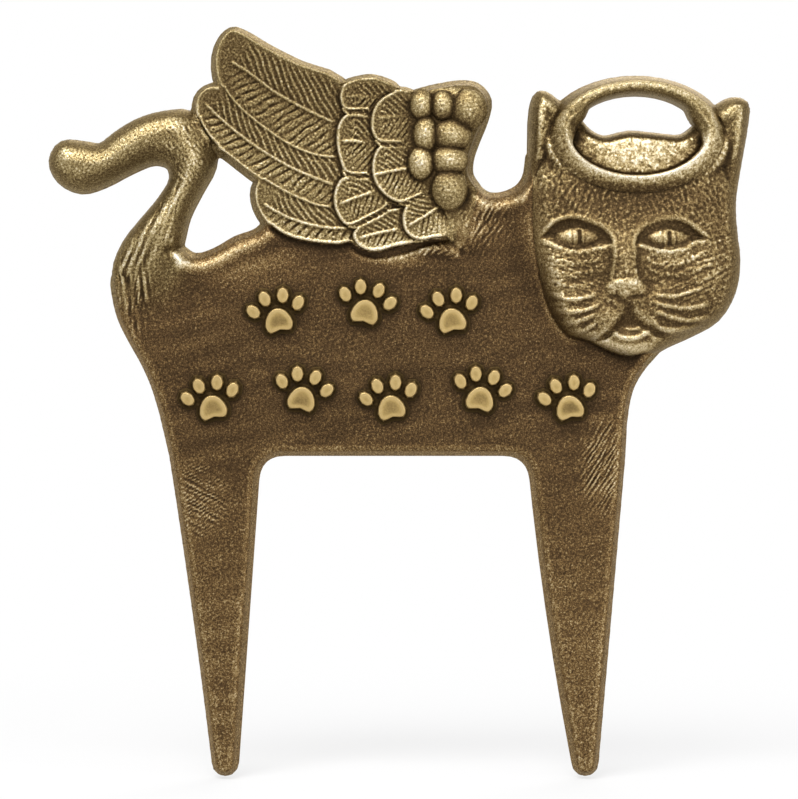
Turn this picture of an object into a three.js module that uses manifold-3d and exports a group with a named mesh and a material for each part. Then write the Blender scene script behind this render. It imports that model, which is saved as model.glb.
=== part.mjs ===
// Pet memorial plaque: a garden marker in the outline of an angel cat, cast in metal with an
// antique brass finish. A thick plate with two ground stakes carries relief castings on its flat
// front: the tail, the wing's feathers and shoulder, the head, the halo and a trail of paw prints.
// Millimetres. Each piece is drawn in x and y with its relief along z, and one turn at the end
// stands the drawing up: drawing y becomes +Z, and the front faces -Y. The origin is on the flat
// back, midway across, at the soil line.

import * as THREE from "three";
import { mergeVertices } from "three/addons/utils/BufferGeometryUtils.js";
import Module from "manifold-3d";

const wasm = await Module();
wasm.setup();

// Plate
const PLATE_THICKNESS = 7;
const PLATE_DRAFT = 1.7; // the front outline lies this far inside the back outline
const PLATE_LAND = 1.5; // square edge left at the back before the wall starts to lean in
const LEDGE = 0.6; // the plate's front reaches this far past the castings on it
const SEAM = 0.3; // clearance between neighbouring castings

// Body and stakes
const BELLY_HEIGHT = 35.5; // from the soil line
const STAKE_DEPTH = 70; // from the soil line down to the tips
const STAKE_TIP_RADIUS = 4.5;
const LEG_FILLET = 8;
const REAR_LEG_X = -60.6;
const REAR_LEG_WIDTH = 30.2; // at the belly
const REAR_TIP_X = -57.2;
const REAR_LEG_BOW = -0.5; // its outer edge curves in
const FRONT_LEG_X = 58.4;
const FRONT_LEG_WIDTH = 32.4;
const FRONT_TIP_X = 61.3;
const FRONT_LEG_BOW = 1.2; // how far the front leg's inner edge swells

// Tail
const TAIL_RELIEF = 6;
const TAIL_ROUND = 3.2; // how far in from its edge the tail is rounded

// Wing
const PRIMARY_RELIEF = 2.6;
const SECONDARY_RELIEF = 3.6;
const COVERT_RELIEF = 4.6;
const SHOULDER_RELIEF = 3.8;
const FEATHER_CHAMFER = 0.8;
const SCALE_RELIEF = 3; // above the shoulder

// Head
const HEAD_FLANGE = 2.5; // thickness of the head's edge, which runs on under the halo
const SKULL_X = 76;
const SKULL_Y = 106;
const SKULL_WIDTH = 72;
const SKULL_HEIGHT = 88;
const SKULL_RISE = 6.5; // above the flange
const SKULL_FULLNESS = 0.7; // below 1 the skull's dome is fuller than a parabola
const HEAD_PITCH = 2.2; // spacing of the points that carry the face

// Halo
const HALO_X = 77.8;
const HALO_Y = 140;
const HALO_WIDTH = 57;
const HALO_HEIGHT = 37;
const HALO_SIDE_RIM = 6.2;
const HALO_TOP_RIM = 2.9;
const HALO_LOW_RIM = 5.6;
const HALO_RELIEF = 8.5;
const HALO_ROUND = 1.2;
const HALO_WALL = 1.6; // how far the wall of the window leans in behind the halo

// Paw prints
const PAD_WIDTH = 9.6;
const PAD_HEIGHT = 8.2;
const TOE_WIDTH = 4.4;
const TOE_LENGTH = 5.8;
const TOE_GAP = 1.1; // between the pad and each toe
const TOE_LEANS = [-1.02, -0.35, 0.35, 1.02]; // where the toes stand round the pad
const TOE_TURN = 0.6; // the share of its lean that each toe turns by
// Right half of the pad, in shares of its half width and half height, from the top round to the foot
const PAD_HALF = [[0, 1], [0.62, 0.66], [1, -0.35], [0.72, -1], [0, -0.82]];
const PRINT_RELIEF = 2.2;
const PRINT_WEB = 0.6; // height of the thin web that joins the pad and the toes
const PRINT_TILT = 0.2; // prints lean left and right in turn
const LOWER_ROW = { y: 53, x: -61, pitch: 29.2, count: 5 };
const UPPER_ROW = { y: 81.5, x: -39.5, pitch: 28.4, count: 3 };
const ROW_STAGGER = 1.4; // prints stand this far above and below their row in turn

const SPLINE_STEPS = 3; // straight pieces between two points of a curve
const ARC_STEPS = 6; // straight pieces in a leg's rounded stretches
const TOE_STEPS = 8;
const HALO_STEPS = 40;
const DOME_STEPS = 4; // a shoulder scale, from its foot to its top
const DOME_SIDES = 12;
const FAR = 400; // longer than anything on the plaque, for cutting tools

// Outlines, as points on smooth closed curves. Each casting's outline is that of its front.
const TAIL = [
  [-92.3, 96], [-89.3, 104.6], [-83.6, 112], [-77.6, 119.2], [-73.6, 126.4], [-74.8, 131.6],
  [-80.4, 133.4], [-88.2, 130.6], [-97.6, 125.8], [-104.6, 124], [-110.8, 127],
  [-113.2, 132.5], [-110.3, 137.2], [-104, 137], [-98, 136.4], [-92.5, 140.3], [-86, 144.3],
  [-78, 146.8], [-68.5, 147], [-62.4, 140], [-62.3, 131], [-66.2, 123.5], [-70.7, 114.5],
  [-72.8, 106], [-75.2, 97], [-78.8, 89.5], [-84.5, 86.2], [-90.3, 89],
];
const PRIMARIES = [
  [
    [-55, 174.6], [-59, 169.4], [-59.3, 160], [-54.5, 151.5], [-45, 143], [-34, 136], [-24, 133],
    [-16.5, 134.5], [-16, 148], [-20, 158.6], [-32.5, 163.5], [-44, 169.3], [-51.3, 173.6],
  ],
  [
    [-62, 156], [-65.5, 153], [-65.7, 146.5], [-61.3, 138.9], [-55, 133.8], [-45, 126.2],
    [-34, 120], [-24, 116.6], [-16.5, 118], [-17, 129], [-29, 139], [-42, 148], [-54, 154.5],
  ],
  [
    [-46, 125], [-46.7, 119.5], [-43.6, 113], [-37.5, 108], [-28, 105.5], [-16.5, 105.5],
    [-13, 111], [-17.5, 119], [-29, 122.5], [-40.5, 126.5],
  ],
];
const SECONDARIES = [
  [
    [-19.5, 154], [-17.5, 157], [-13.5, 158.5], [-9, 159], [-5, 158], [-1.5, 156], [-1.5, 151],
    [-6, 148.6], [-12, 148.5], [-18, 149],
  ],
  [
    [-17.5, 147.3], [-20, 144], [-20.6, 139], [-19.8, 133.5], [-17.5, 128.3], [-12, 127.4],
    [-7, 129], [-5.5, 138], [-7, 145.5], [-12, 147.4],
  ],
  [
    [-18.5, 126.8], [-21, 123], [-21.5, 119], [-20.3, 114.5], [-17, 110.8], [-10, 113.5],
    [-3.5, 117.6], [-3, 122], [-5.5, 126], [-11, 126.6],
  ],
  [
    [-15.3, 108], [-13.3, 110.8], [-8, 113.4], [-2.5, 116.6], [2.5, 116], [5, 111], [5.5, 106],
    [-1.5, 104], [-8, 102.4], [-13, 104],
  ],
];
const COVERTS = [
  [
    [-9.3, 145], [-8, 150], [-4.5, 153.4], [0, 155], [4.5, 153.5], [6, 146], [4.5, 138.4],
    [-1.5, 137.8], [-7, 138.4], [-9, 141.5],
  ],
  [
    [-6.5, 136.8], [-8.6, 133], [-8.9, 128.5], [-7.5, 124], [-4, 120.2], [0.5, 118.2],
    [5, 119.8], [9.5, 122.5], [8, 130], [5, 136.5], [-1, 137.2],
  ],
  [
    [2.3, 117.6], [1, 114], [1.6, 109.6], [4, 107], [7.5, 106], [11.5, 106.9], [15.8, 107.5],
    [15.5, 113], [13, 118.5], [9, 121.8],
  ],
];
const SHOULDER = [
  [3.2, 152.5], [9, 155], [14.5, 156.2], [20, 157], [25, 156.4], [28.3, 152.5], [27.3, 146.5],
  [24.5, 139.5], [22.4, 133], [22.4, 127.5], [25.6, 122], [24.8, 117], [23.2, 110.5], [21.9, 105.4],
  [19.5, 103.4], [17.4, 106.4], [16, 113], [12, 119.5], [7, 123.8], [3.4, 128], [2.3, 135],
  [2.4, 144],
];
const HEAD = [
  [45, 149.5], [46.6, 153.6], [49.4, 152.4], [53.5, 148.6], [58, 145.2], [61.6, 141.3], [67, 138.8],
  [75.5, 140.4], [85, 139.6], [93, 139.2], [98.5, 143], [104.5, 148.6], [109.6, 151.4],
  [113, 150.6], [112.8, 145], [110.6, 132], [108.7, 119], [109.3, 108], [110.2, 100],
  [108.8, 90], [103.8, 81.6], [95.6, 76.8], [87.2, 73], [80.5, 69.3], [74.5, 68.2],
  [67.5, 70.3], [62, 73], [55.5, 74.8], [50.5, 81], [46.8, 91], [44.4, 104], [43.6, 118],
  [44.4, 134],
];

// Silhouette of the body, in open stretches between the legs, the head, the wing and the tail
const CHEST = [[75.1, 45.7], [76.2, 53.5], [77.9, 58.9], [81.2, 64.2], [85.3, 68.9]];
const NAPE = [
  [70, 110], [42.6, 136], [41, 129.2], [40, 126.6], [38.1, 124.4], [34, 122.6], [30, 122.4],
  [27.2, 124.2], [25, 127.1], [24.1, 130.6], [24.3, 134.2], [12, 142],
];
const BACK = [
  [-30, 120], [-45.2, 112.5], [-47.5, 110.4], [-54.1, 108], [-61.1, 104], [-67, 102.4],
  [-71, 105], [-79, 110],
];
const RUMP = [
  [-91, 101], [-95, 94.2], [-94.4, 87.1], [-92.6, 80.2], [-88.8, 72.5], [-85.3, 66.3],
  [-81.8, 58.6], [-79, 49.6],
];

// Shoulder scales: middle x and y, half width, half height
const SCALES = [
  [7.5, 150.2, 2.9, 3.8], [14.4, 149.9, 3.2, 3.6], [22.5, 148.7, 4.5, 4.7],
  [8.7, 140.6, 3.0, 4.6], [17.1, 140.4, 4.8, 3.9], [7.4, 131.4, 3.2, 4.1],
  [16.3, 132.2, 4.5, 3.7], [16.3, 122.9, 4.2, 4.9],
];

// Forms of the face: middle x and y, half width, half height, and how far each stands out of the
// skull or, below zero, sinks into it
const FACE = [
  [46.6, 144, 4.5, 12, 3.4], // left ear
  [109, 142, 4.5, 12, 3.4], // right ear
  [74.5, 120, 24, 13, 1.2], // forehead
  [78, 133.5, 22, 10, 2.6], // crown, inside the halo
  [52.5, 92, 11, 17, 1.8], // left cheek
  [100.5, 92, 11, 17, 1.8], // right cheek
  [58.6, 106, 12, 6.5, -3.2], // left eye's socket
  [88.6, 105.6, 12, 6.5, -3.2], // right eye's socket
  [57.5, 112.8, 13, 3.8, 2.2], // left brow
  [89.5, 112.4, 13, 3.8, 2.2], // right brow
  [58.4, 106.2, 7.6, 4, 3.6], // left eye
  [88.4, 105.8, 7.6, 4, 3.6], // right eye
  [73.4, 100, 6, 16, 2.8], // bridge of the nose
  [73.6, 90.4, 7.6, 4.8, 4.6], // tip of the nose
  [64.4, 83, 12.5, 9.5, 4], // left of the muzzle
  [84, 82.6, 12.5, 9.5, 4], // right of the muzzle
  [75, 78, 9, 3.2, -4], // mouth
  [75.4, 73, 9, 5.6, 3.4], // chin
];

// Points on a smooth curve through the given points
function smooth(points, closed, steps = SPLINE_STEPS) {
  const nodes = points.map(([x, y]) => new THREE.Vector3(x, y, 0));
  const spans = closed ? points.length : points.length - 1;
  const curve = new THREE.CatmullRomCurve3(nodes, closed, "centripetal");
  const sampled = curve.getPoints(spans * steps).map((p) => new THREE.Vector2(p.x, p.y));
  return closed ? sampled.slice(0, -1) : sampled;
}

function ellipse(x, y, halfWidth, halfHeight, steps, turn = 0) {
  const curve = new THREE.EllipseCurve(x, y, halfWidth, halfHeight, 0, 2 * Math.PI, false, turn);
  return curve.getPoints(steps).slice(0, -1);
}

// The same outline, anticlockwise, moved outwards along its normals
function grow(outline, distance) {
  const loop = THREE.ShapeUtils.isClockWise(outline) ? [...outline].reverse() : outline;
  return loop.map((point, i) => {
    const before = loop[(i + loop.length - 1) % loop.length];
    const after = loop[(i + 1) % loop.length];
    const along = after.clone().sub(before).normalize();
    return new THREE.Vector2(point.x + along.y * distance, point.y - along.x * distance);
  });
}

// A closed geometry as a solid that can be joined and cut
function solid(geometry) {
  const bare = new THREE.BufferGeometry();
  bare.setAttribute("position", geometry.getAttribute("position"));
  bare.setIndex(geometry.getIndex());
  const merged = mergeVertices(bare, 1e-4);
  const corners = merged.getIndex().array;
  const kept = [];
  for (let i = 0; i < corners.length; i += 3) {
    const [a, b, c] = corners.slice(i, i + 3);
    if (a !== b && b !== c && c !== a) {
      kept.push(a, b, c);
    }
  }
  const vertProperties = merged.getAttribute("position").array;
  const triVerts = new Uint32Array(kept);
  return new wasm.Manifold(new wasm.Mesh({ numProp: 3, vertProperties, triVerts }));
}

function geometryOf(body) {
  const mesh = body.getMesh();
  const geometry = new THREE.BufferGeometry();
  geometry.setAttribute("position", new THREE.BufferAttribute(mesh.vertProperties, 3));
  geometry.setIndex(new THREE.BufferAttribute(mesh.triVerts, 1));
  geometry.computeVertexNormals();
  return geometry;
}

function shapeOf(outline, holes) {
  const shape = new THREE.Shape(outline);
  shape.holes = holes.map((hole) => new THREE.Path(hole));
  return shape;
}

// A straight slab of an outline, from one height to another
function slab(outline, low, high, holes = []) {
  const settings = { depth: high - low, bevelEnabled: false };
  return solid(new THREE.ExtrudeGeometry(shapeOf(outline, holes), settings).translate(0, 0, low));
}

const BEHIND = slab([[-1, -1], [1, -1], [1, 1], [-1, 1]].map(([x, y]) =>
  new THREE.Vector2(x * FAR, y * FAR)), -FAR, 0);

// A casting with a flat back at z = 0, whose front edge is rounded in by `run` over `rise`
function casting(outline, relief, run, rise, steps, holes = []) {
  const settings = {
    depth: relief - rise,
    bevelThickness: rise,
    bevelSize: run,
    bevelOffset: -run,
    bevelSegments: steps,
  };
  return solid(new THREE.ExtrudeGeometry(shapeOf(outline, holes), settings)).subtract(BEHIND);
}

// Closed outlines of the flat top of a straight-sided solid: the outer one first, then its holes
function topOutlines(body, height) {
  const { vertProperties, triVerts } = body.getMesh();
  const onTop = (corner) => Math.abs(vertProperties[3 * corner + 2] - height) < 1e-4;
  const edges = new Set();
  for (let i = 0; i < triVerts.length; i += 3) {
    const corners = [triVerts[i], triVerts[i + 1], triVerts[i + 2]];
    if (corners.every(onTop)) {
      corners.forEach((corner, k) => edges.add(`${corner} ${corners[(k + 1) % 3]}`));
    }
  }
  const next = new Map();
  for (const edge of edges) {
    const [from, to] = edge.split(" ").map(Number);
    if (!edges.has(`${to} ${from}`)) {
      next.set(from, to);
    }
  }
  const loops = [];
  while (next.size > 0) {
    const loop = [];
    let corner = next.keys().next().value;
    while (next.has(corner)) {
      loop.push(new THREE.Vector2(vertProperties[3 * corner], vertProperties[3 * corner + 1]));
      const following = next.get(corner);
      next.delete(corner);
      corner = following;
    }
    loops.push(loop);
  }
  const size = (loop) => Math.abs(THREE.ShapeUtils.area(loop));
  return loops.sort((a, b) => size(b) - size(a));
}

// Leaves out points that stand closer together than the draft can follow
function spaced(loop, spacing) {
  const kept = [loop[0]];
  for (const point of loop) {
    if (point.distanceTo(kept.at(-1)) > spacing && point.distanceTo(kept[0]) > spacing) {
      kept.push(point);
    }
  }
  return kept;
}

// One leg, from its left edge at the belly down round the stake's tip and up its right edge. The
// left edge swells outwards by `bow` at its middle.
function legOutline(middle, width, tip, bow) {
  const tipHeight = STAKE_TIP_RADIUS - STAKE_DEPTH;
  const round = new THREE.EllipseCurve(
    tip, tipHeight, STAKE_TIP_RADIUS, STAKE_TIP_RADIUS, Math.PI, 2 * Math.PI);
  const leftTop = new THREE.Vector2(middle - width / 2, BELLY_HEIGHT);
  const leftLow = new THREE.Vector2(tip - STAKE_TIP_RADIUS, tipHeight);
  const swell = leftTop.clone().lerp(leftLow, 0.5).add(new THREE.Vector2(-2 * bow, 0));
  return [
    ...new THREE.QuadraticBezierCurve(leftTop, swell, leftLow).getPoints(ARC_STEPS),
    ...round.getPoints(ARC_STEPS).slice(1),
    new THREE.Vector2(middle + width / 2, BELLY_HEIGHT),
  ];
}

// A rounded corner between the belly and the inner edge of a leg, which runs from top to low
function filletCorner(edgeTop, edgeLow, side) {
  const share = LEG_FILLET / (edgeTop.y - edgeLow.y);
  const onLeg = edgeTop.clone().lerp(edgeLow, share);
  const onBelly = new THREE.Vector2(edgeTop.x + side * LEG_FILLET, edgeTop.y);
  const curve = new THREE.QuadraticBezierCurve(onLeg, edgeTop, onBelly);
  const points = curve.getPoints(ARC_STEPS);
  return side > 0 ? points : points.reverse();
}

function bodyOutline() {
  const rear = legOutline(REAR_LEG_X, REAR_LEG_WIDTH, REAR_TIP_X, REAR_LEG_BOW);
  const front = legOutline(FRONT_LEG_X, FRONT_LEG_WIDTH, FRONT_TIP_X, FRONT_LEG_BOW);
  const rearInner = filletCorner(rear.at(-1), rear.at(-2), 1);
  const frontInner = filletCorner(front[0], front[1], -1);
  return [
    ...rear.slice(0, -1), ...rearInner, ...frontInner, ...front.slice(1),
    ...smooth(CHEST, false), ...smooth(NAPE, false), ...smooth(BACK, false),
    ...smooth(RUMP, false),
  ];
}

const tailOutline = smooth(TAIL, true);
const headOutline = smooth(HEAD, true);
const haloOuter = ellipse(HALO_X, HALO_Y, HALO_WIDTH / 2, HALO_HEIGHT / 2, HALO_STEPS);
const haloInner = ellipse(
  HALO_X, HALO_Y + (HALO_LOW_RIM - HALO_TOP_RIM) / 2,
  HALO_WIDTH / 2 - HALO_SIDE_RIM, (HALO_HEIGHT - HALO_LOW_RIM - HALO_TOP_RIM) / 2, HALO_STEPS);

// The wing's pieces from the top layer down, with the tail under its tip
const layers = [
  { name: "wing_shoulder", outline: smooth(SHOULDER, true), relief: SHOULDER_RELIEF },
  ...COVERTS.map((points, i) => ({
    name: `covert_feather_${i + 1}`, outline: smooth(points, true), relief: COVERT_RELIEF,
  })),
  ...SECONDARIES.map((points, i) => ({
    name: `secondary_feather_${i + 1}`, outline: smooth(points, true), relief: SECONDARY_RELIEF,
  })),
  ...PRIMARIES.map((points, i) => ({
    name: `primary_feather_${i + 1}`, outline: smooth(points, true), relief: PRIMARY_RELIEF,
  })),
];

// The plate is the body's silhouette joined with the backing of every casting at its edge. The
// halo's backing is a ring, so the halo stays open above the head.
function plate() {
  const backing = PLATE_DRAFT + LEDGE;
  const flat = (outline, holes) => slab(outline, 0, PLATE_THICKNESS, holes);
  const ringHole = grow(haloInner, -HALO_WALL);
  let joined = flat(bodyOutline())
    .subtract(slab(ringHole, -FAR, FAR))
    .add(flat(grow(haloOuter, backing), [ringHole]));
  for (const outline of [headOutline, tailOutline, ...layers.map((layer) => layer.outline)]) {
    joined = joined.add(flat(grow(outline, backing)));
  }
  const [outer, ...holes] = topOutlines(joined, PLATE_THICKNESS).map((loop) => spaced(loop, 0.6));
  const rise = PLATE_THICKNESS - PLATE_LAND;
  return casting(outer, PLATE_THICKNESS, PLATE_DRAFT, rise, 2, holes);
}

// Height of the head above the plate
function headHeight(x, y) {
  const dome = (dx, dy, width, height) => Math.max(1 - (2 * dx / width) ** 2 - (2 * dy / height) ** 2, 0);
  const skull = dome(x - SKULL_X, y - SKULL_Y, SKULL_WIDTH, SKULL_HEIGHT);
  return FACE.reduce(
    (sum, [formX, formY, halfWidth, halfHeight, rise]) =>
      sum + rise * dome(x - formX, y - formY, 2 * halfWidth, 2 * halfHeight) ** 2,
    HEAD_FLANGE + SKULL_RISE * skull ** SKULL_FULLNESS,
  );
}

// The head: a block with the face as its front, cut to the head's outline, with a trough for the
// halo down to the flange
function head() {
  const box = new THREE.Box2().setFromPoints(headOutline).expandByScalar(HEAD_PITCH);
  const size = box.getSize(new THREE.Vector2());
  const middle = box.getCenter(new THREE.Vector2());
  const [columns, rows] = [size.x, size.y].map((length) => Math.ceil(length / HEAD_PITCH));
  const block = new THREE.BoxGeometry(size.x, size.y, 2, columns, rows, 1).translate(middle.x, middle.y, 0);
  const points = block.getAttribute("position");
  for (let i = 0; i < points.count; i += 1) {
    if (points.getZ(i) > 0) {
      points.setZ(i, headHeight(points.getX(i), points.getY(i)));
    }
  }
  const trough = slab(grow(haloOuter, SEAM), HEAD_FLANGE, FAR, [grow(haloInner, -SEAM)]);
  return solid(block).intersect(slab(headOutline, 0, FAR)).subtract(trough);
}

function halo() {
  const thinnest = Math.min(HALO_SIDE_RIM, HALO_TOP_RIM, HALO_LOW_RIM);
  const round = Math.min(HALO_ROUND, 0.45 * thinnest);
  const ring = casting(haloOuter, HALO_RELIEF, round, round, 3, [haloInner]);
  return ring.subtract(slab(grow(headOutline, SEAM), -FAR, HEAD_FLANGE + SEAM));
}

// A half ball with a flat foot, drawn out to an oval
function scale(halfWidth, halfHeight) {
  const quarter = new THREE.EllipseCurve(0, 0, 1, SCALE_RELIEF, 0, Math.PI / 2).getPoints(DOME_STEPS);
  const dome = new THREE.LatheGeometry([new THREE.Vector2(0, 0), ...quarter], DOME_SIDES);
  return solid(dome.rotateX(Math.PI / 2).scale(halfWidth, halfHeight, 1));
}

// One paw print: a three-lobed pad and four toes around it, on a thin web that joins them
function pawPrint() {
  const mirrored = PAD_HALF.slice(1, -1).reverse().map(([x, y]) => [-x, y]);
  const padPoints = [...PAD_HALF, ...mirrored].map(([x, y]) => [x * PAD_WIDTH / 2, y * PAD_HEIGHT / 2]);
  const outlines = [smooth(padPoints, true, 2)];
  for (const lean of TOE_LEANS) {
    const reachX = Math.sin(lean) * (PAD_WIDTH / 2 + TOE_GAP + TOE_LENGTH / 2);
    const reachY = Math.cos(lean) * (PAD_HEIGHT / 2 + TOE_GAP + TOE_LENGTH / 2);
    outlines.push(ellipse(reachX, reachY, TOE_WIDTH / 2, TOE_LENGTH / 2, TOE_STEPS, -lean * TOE_TURN));
  }
  const webs = outlines.map((outline) => slab(grow(outline, TOE_GAP), 0, PRINT_WEB));
  const pads = outlines.map((outline) => slab(outline, 0, PRINT_RELIEF));
  return [...webs, ...pads].reduce((print, piece) => print.add(piece));
}

const darkBrass = new THREE.MeshStandardMaterial({ color: 0x6a5436, roughness: 0.5, metalness: 0.8 });
const rubbedBrass = new THREE.MeshStandardMaterial({ color: 0xa48d5c, roughness: 0.42, metalness: 0.9 });
const satinBrass = new THREE.MeshStandardMaterial({ color: 0xc9ae76, roughness: 0.36, metalness: 0.9 });

const plaque = new THREE.Group();
plaque.rotation.x = Math.PI / 2;

function addPiece(name, body, material, x = 0, y = 0, seat = PLATE_THICKNESS) {
  const mesh = new THREE.Mesh(geometryOf(body), material);
  mesh.name = name;
  mesh.position.set(x, y, seat);
  plaque.add(mesh);
  return mesh;
}

addPiece("plaque_plate", plate(), darkBrass, 0, 0, 0);

// Each feather gives way to the layers over it, and the tail to the wing
const covering = [];
function givesWay(body) {
  return covering.reduce((left, over) => left.subtract(over), body);
}
for (const { name, outline, relief } of layers) {
  const feather = casting(outline, relief, FEATHER_CHAMFER, FEATHER_CHAMFER, 1);
  addPiece(name, givesWay(feather), rubbedBrass);
  covering.push(slab(grow(outline, SEAM), -FAR, FAR));
}
const tail = casting(tailOutline, TAIL_RELIEF, TAIL_ROUND, TAIL_ROUND, 3);
addPiece("tail", givesWay(tail), rubbedBrass);

SCALES.forEach(([x, y, halfWidth, halfHeight], i) => {
  const seat = PLATE_THICKNESS + SHOULDER_RELIEF;
  addPiece(`shoulder_scale_${i + 1}`, scale(halfWidth, halfHeight), rubbedBrass, x, y, seat);
});

addPiece("head", head(), rubbedBrass);
addPiece("halo", halo(), rubbedBrass);

let printNumber = 0;
for (const row of [LOWER_ROW, UPPER_ROW]) {
  for (let i = 0; i < row.count; i += 1) {
    const side = i % 2 === 0 ? 1 : -1;
    printNumber += 1;
    const y = row.y - side * ROW_STAGGER;
    const mesh = addPiece(`paw_print_${printNumber}`, pawPrint(), satinBrass, row.x + i * row.pitch, y);
    mesh.rotation.z = side * PRINT_TILT;
  }
}

export default plaque;
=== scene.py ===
import math

import bpy
import numpy as np
from mathutils.geometry import delaunay_2d_cdt
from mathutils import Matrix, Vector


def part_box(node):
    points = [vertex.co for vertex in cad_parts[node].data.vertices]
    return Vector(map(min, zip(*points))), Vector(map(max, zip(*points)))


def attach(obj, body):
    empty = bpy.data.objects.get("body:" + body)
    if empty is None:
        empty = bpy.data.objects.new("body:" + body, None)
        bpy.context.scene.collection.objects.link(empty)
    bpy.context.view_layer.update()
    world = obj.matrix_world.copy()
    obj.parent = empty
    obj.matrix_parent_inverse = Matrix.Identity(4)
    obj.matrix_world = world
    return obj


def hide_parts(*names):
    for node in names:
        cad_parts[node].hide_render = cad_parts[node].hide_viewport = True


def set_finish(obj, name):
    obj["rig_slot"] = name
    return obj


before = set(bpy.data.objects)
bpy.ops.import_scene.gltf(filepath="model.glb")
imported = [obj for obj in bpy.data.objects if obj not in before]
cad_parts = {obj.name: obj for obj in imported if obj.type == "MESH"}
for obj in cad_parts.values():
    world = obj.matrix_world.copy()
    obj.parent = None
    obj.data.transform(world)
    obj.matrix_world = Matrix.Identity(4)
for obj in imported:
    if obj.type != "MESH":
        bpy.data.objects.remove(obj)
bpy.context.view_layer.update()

# Backing plate
# One flat sand casting, about 7 mm thick, that carries both ground stakes and every relief piece.
# Its walls lean in so that it leaves the mould, its front edge is soft, and its back is plain.

MM = 0.001
PITCH = 0.3  # mm between the points of the lattice that every relief is worked out on
MARGIN = 3.0  # mm of lattice kept round a piece
EDGE_LAND = 1.5  # mm of square wall at the back, before the draft starts
PLATE_STEP = 2  # the plate's surface uses every second lattice point
EDGE_DROP = 0.8  # mm that the front edge is rounded off by on the stakes and the belly
EDGE_RUN = 1.5
BACK_DROP = 2.0  # the same along the back, the rump and the nape, which are rounded wide
BACK_RUN = 4.0
BACK_RIDGE, RIDGE_INSET, RIDGE_HALF = 0.9, 3.6, 2.4  # mm: the low ridge inside that round

plate_low, plate_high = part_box("plaque_plate")
PLATE_FRONT = -plate_low.y / MM
lattice_x = np.arange(plate_low.x / MM - MARGIN, plate_high.x / MM + MARGIN, PITCH)
lattice_z = np.arange(plate_low.z / MM - MARGIN, plate_high.z / MM + MARGIN, PITCH)
lattice_x = lattice_x[: len(lattice_x) // 2 * 2 - 1]
lattice_z = lattice_z[: len(lattice_z) // 2 * 2 - 1]
across, up = np.meshgrid(lattice_x, lattice_z)


def outline(node, level):
    """Edges round a node's flat face at one level, in mm from the back: (count, two ends, x and z).
    An outer edge belongs to one triangle of the face only, so it turns up once among all sides."""
    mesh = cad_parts[node].data
    points = np.empty(3 * len(mesh.vertices), np.float32)
    mesh.vertices.foreach_get("co", points)
    mesh.calc_loop_triangles()
    corners = np.empty(3 * len(mesh.loop_triangles), np.int32)
    mesh.loop_triangles.foreach_get("vertices", corners)
    triangles = points.reshape(-1, 3)[corners.reshape(-1, 3)] / MM
    flat = triangles[np.all(np.abs(triangles[:, :, 1] + level) < 0.02, axis=1)][:, :, [0, 2]]
    sides = np.stack([flat, np.roll(flat, -1, axis=1)], axis=2).reshape(-1, 2, 2)
    keys = np.round(sides, 2)
    swapped = (keys[:, 0] @ [1e4, 1]) > (keys[:, 1] @ [1e4, 1])
    keys = np.where(swapped[:, None, None], keys[:, ::-1], keys).reshape(-1, 4)
    _, first, count = np.unique(keys, axis=0, return_index=True, return_counts=True)
    return sides[first[count == 1]].astype(float)


def signed_distance(edges, x, z):
    """Distance of each point from an outline, positive inside, with the outline's nearest point.
    A point is inside where a ray to its right crosses an odd number of edges."""
    points = np.stack([x.ravel(), z.ravel()], axis=1)
    start = edges[:, 0]
    along = edges[:, 1] - start
    length = np.maximum((along**2).sum(1), 1e-12)
    rise = np.where(np.abs(along[:, 1]) < 1e-9, 1e-9, along[:, 1])
    distance = np.empty(len(points))
    nearest = np.empty_like(points)
    for part in np.array_split(np.arange(len(points)), len(points) * len(edges) // 3_000_000 + 1):
        px, pz = points[part, :1], points[part, 1:]
        share = ((px - start[:, 0]) * along[:, 0] + (pz - start[:, 1]) * along[:, 1]) / length
        share = np.clip(share, 0, 1)
        foot_x = start[:, 0] + share * along[:, 0]
        foot_z = start[:, 1] + share * along[:, 1]
        gap = (px - foot_x) ** 2 + (pz - foot_z) ** 2
        best = (np.arange(len(part)), gap.argmin(1))
        nearest[part] = np.stack([foot_x[best], foot_z[best]], axis=1)
        spans = (edges[:, 0, 1] > pz) != (edges[:, 1, 1] > pz)
        right = px < start[:, 0] + (pz - start[:, 1]) * along[:, 0] / rise
        odd = (spans & right).sum(1) % 2 == 1
        distance[part] = np.where(odd, 1, -1) * np.sqrt(gap[best])
    return distance.reshape(x.shape), nearest.reshape(*x.shape, 2)


def around(edges, margin=MARGIN):
    """The rows and columns of the lattice round an outline."""
    low, high = edges.min((0, 1)) - margin, edges.max((0, 1)) + margin
    columns = slice(*np.searchsorted(lattice_x, [low[0], high[0]]))
    return slice(*np.searchsorted(lattice_z, [low[1], high[1]])), columns


def ease(low, high, value):
    """0 up to low, 1 from high on, and a smooth cubic step between."""
    share = np.clip((value - low) / (high - low), 0, 1)
    return share * share * (3 - 2 * share)


def bell(offset, half):
    """A bell curve: 1 at no offset, and e to the power of less the squared offset in half widths."""
    return np.exp(-((offset / half) ** 2))


def quarter_round(depth, run):
    """An edge rounded as a quarter circle: 0 at the edge, 1 from a run in mm on. It is the root of one
    less the square of the share of the run that is still to go."""
    return np.sqrt(1 - np.clip(1 - depth / run, 0, 1) ** 2)


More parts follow.
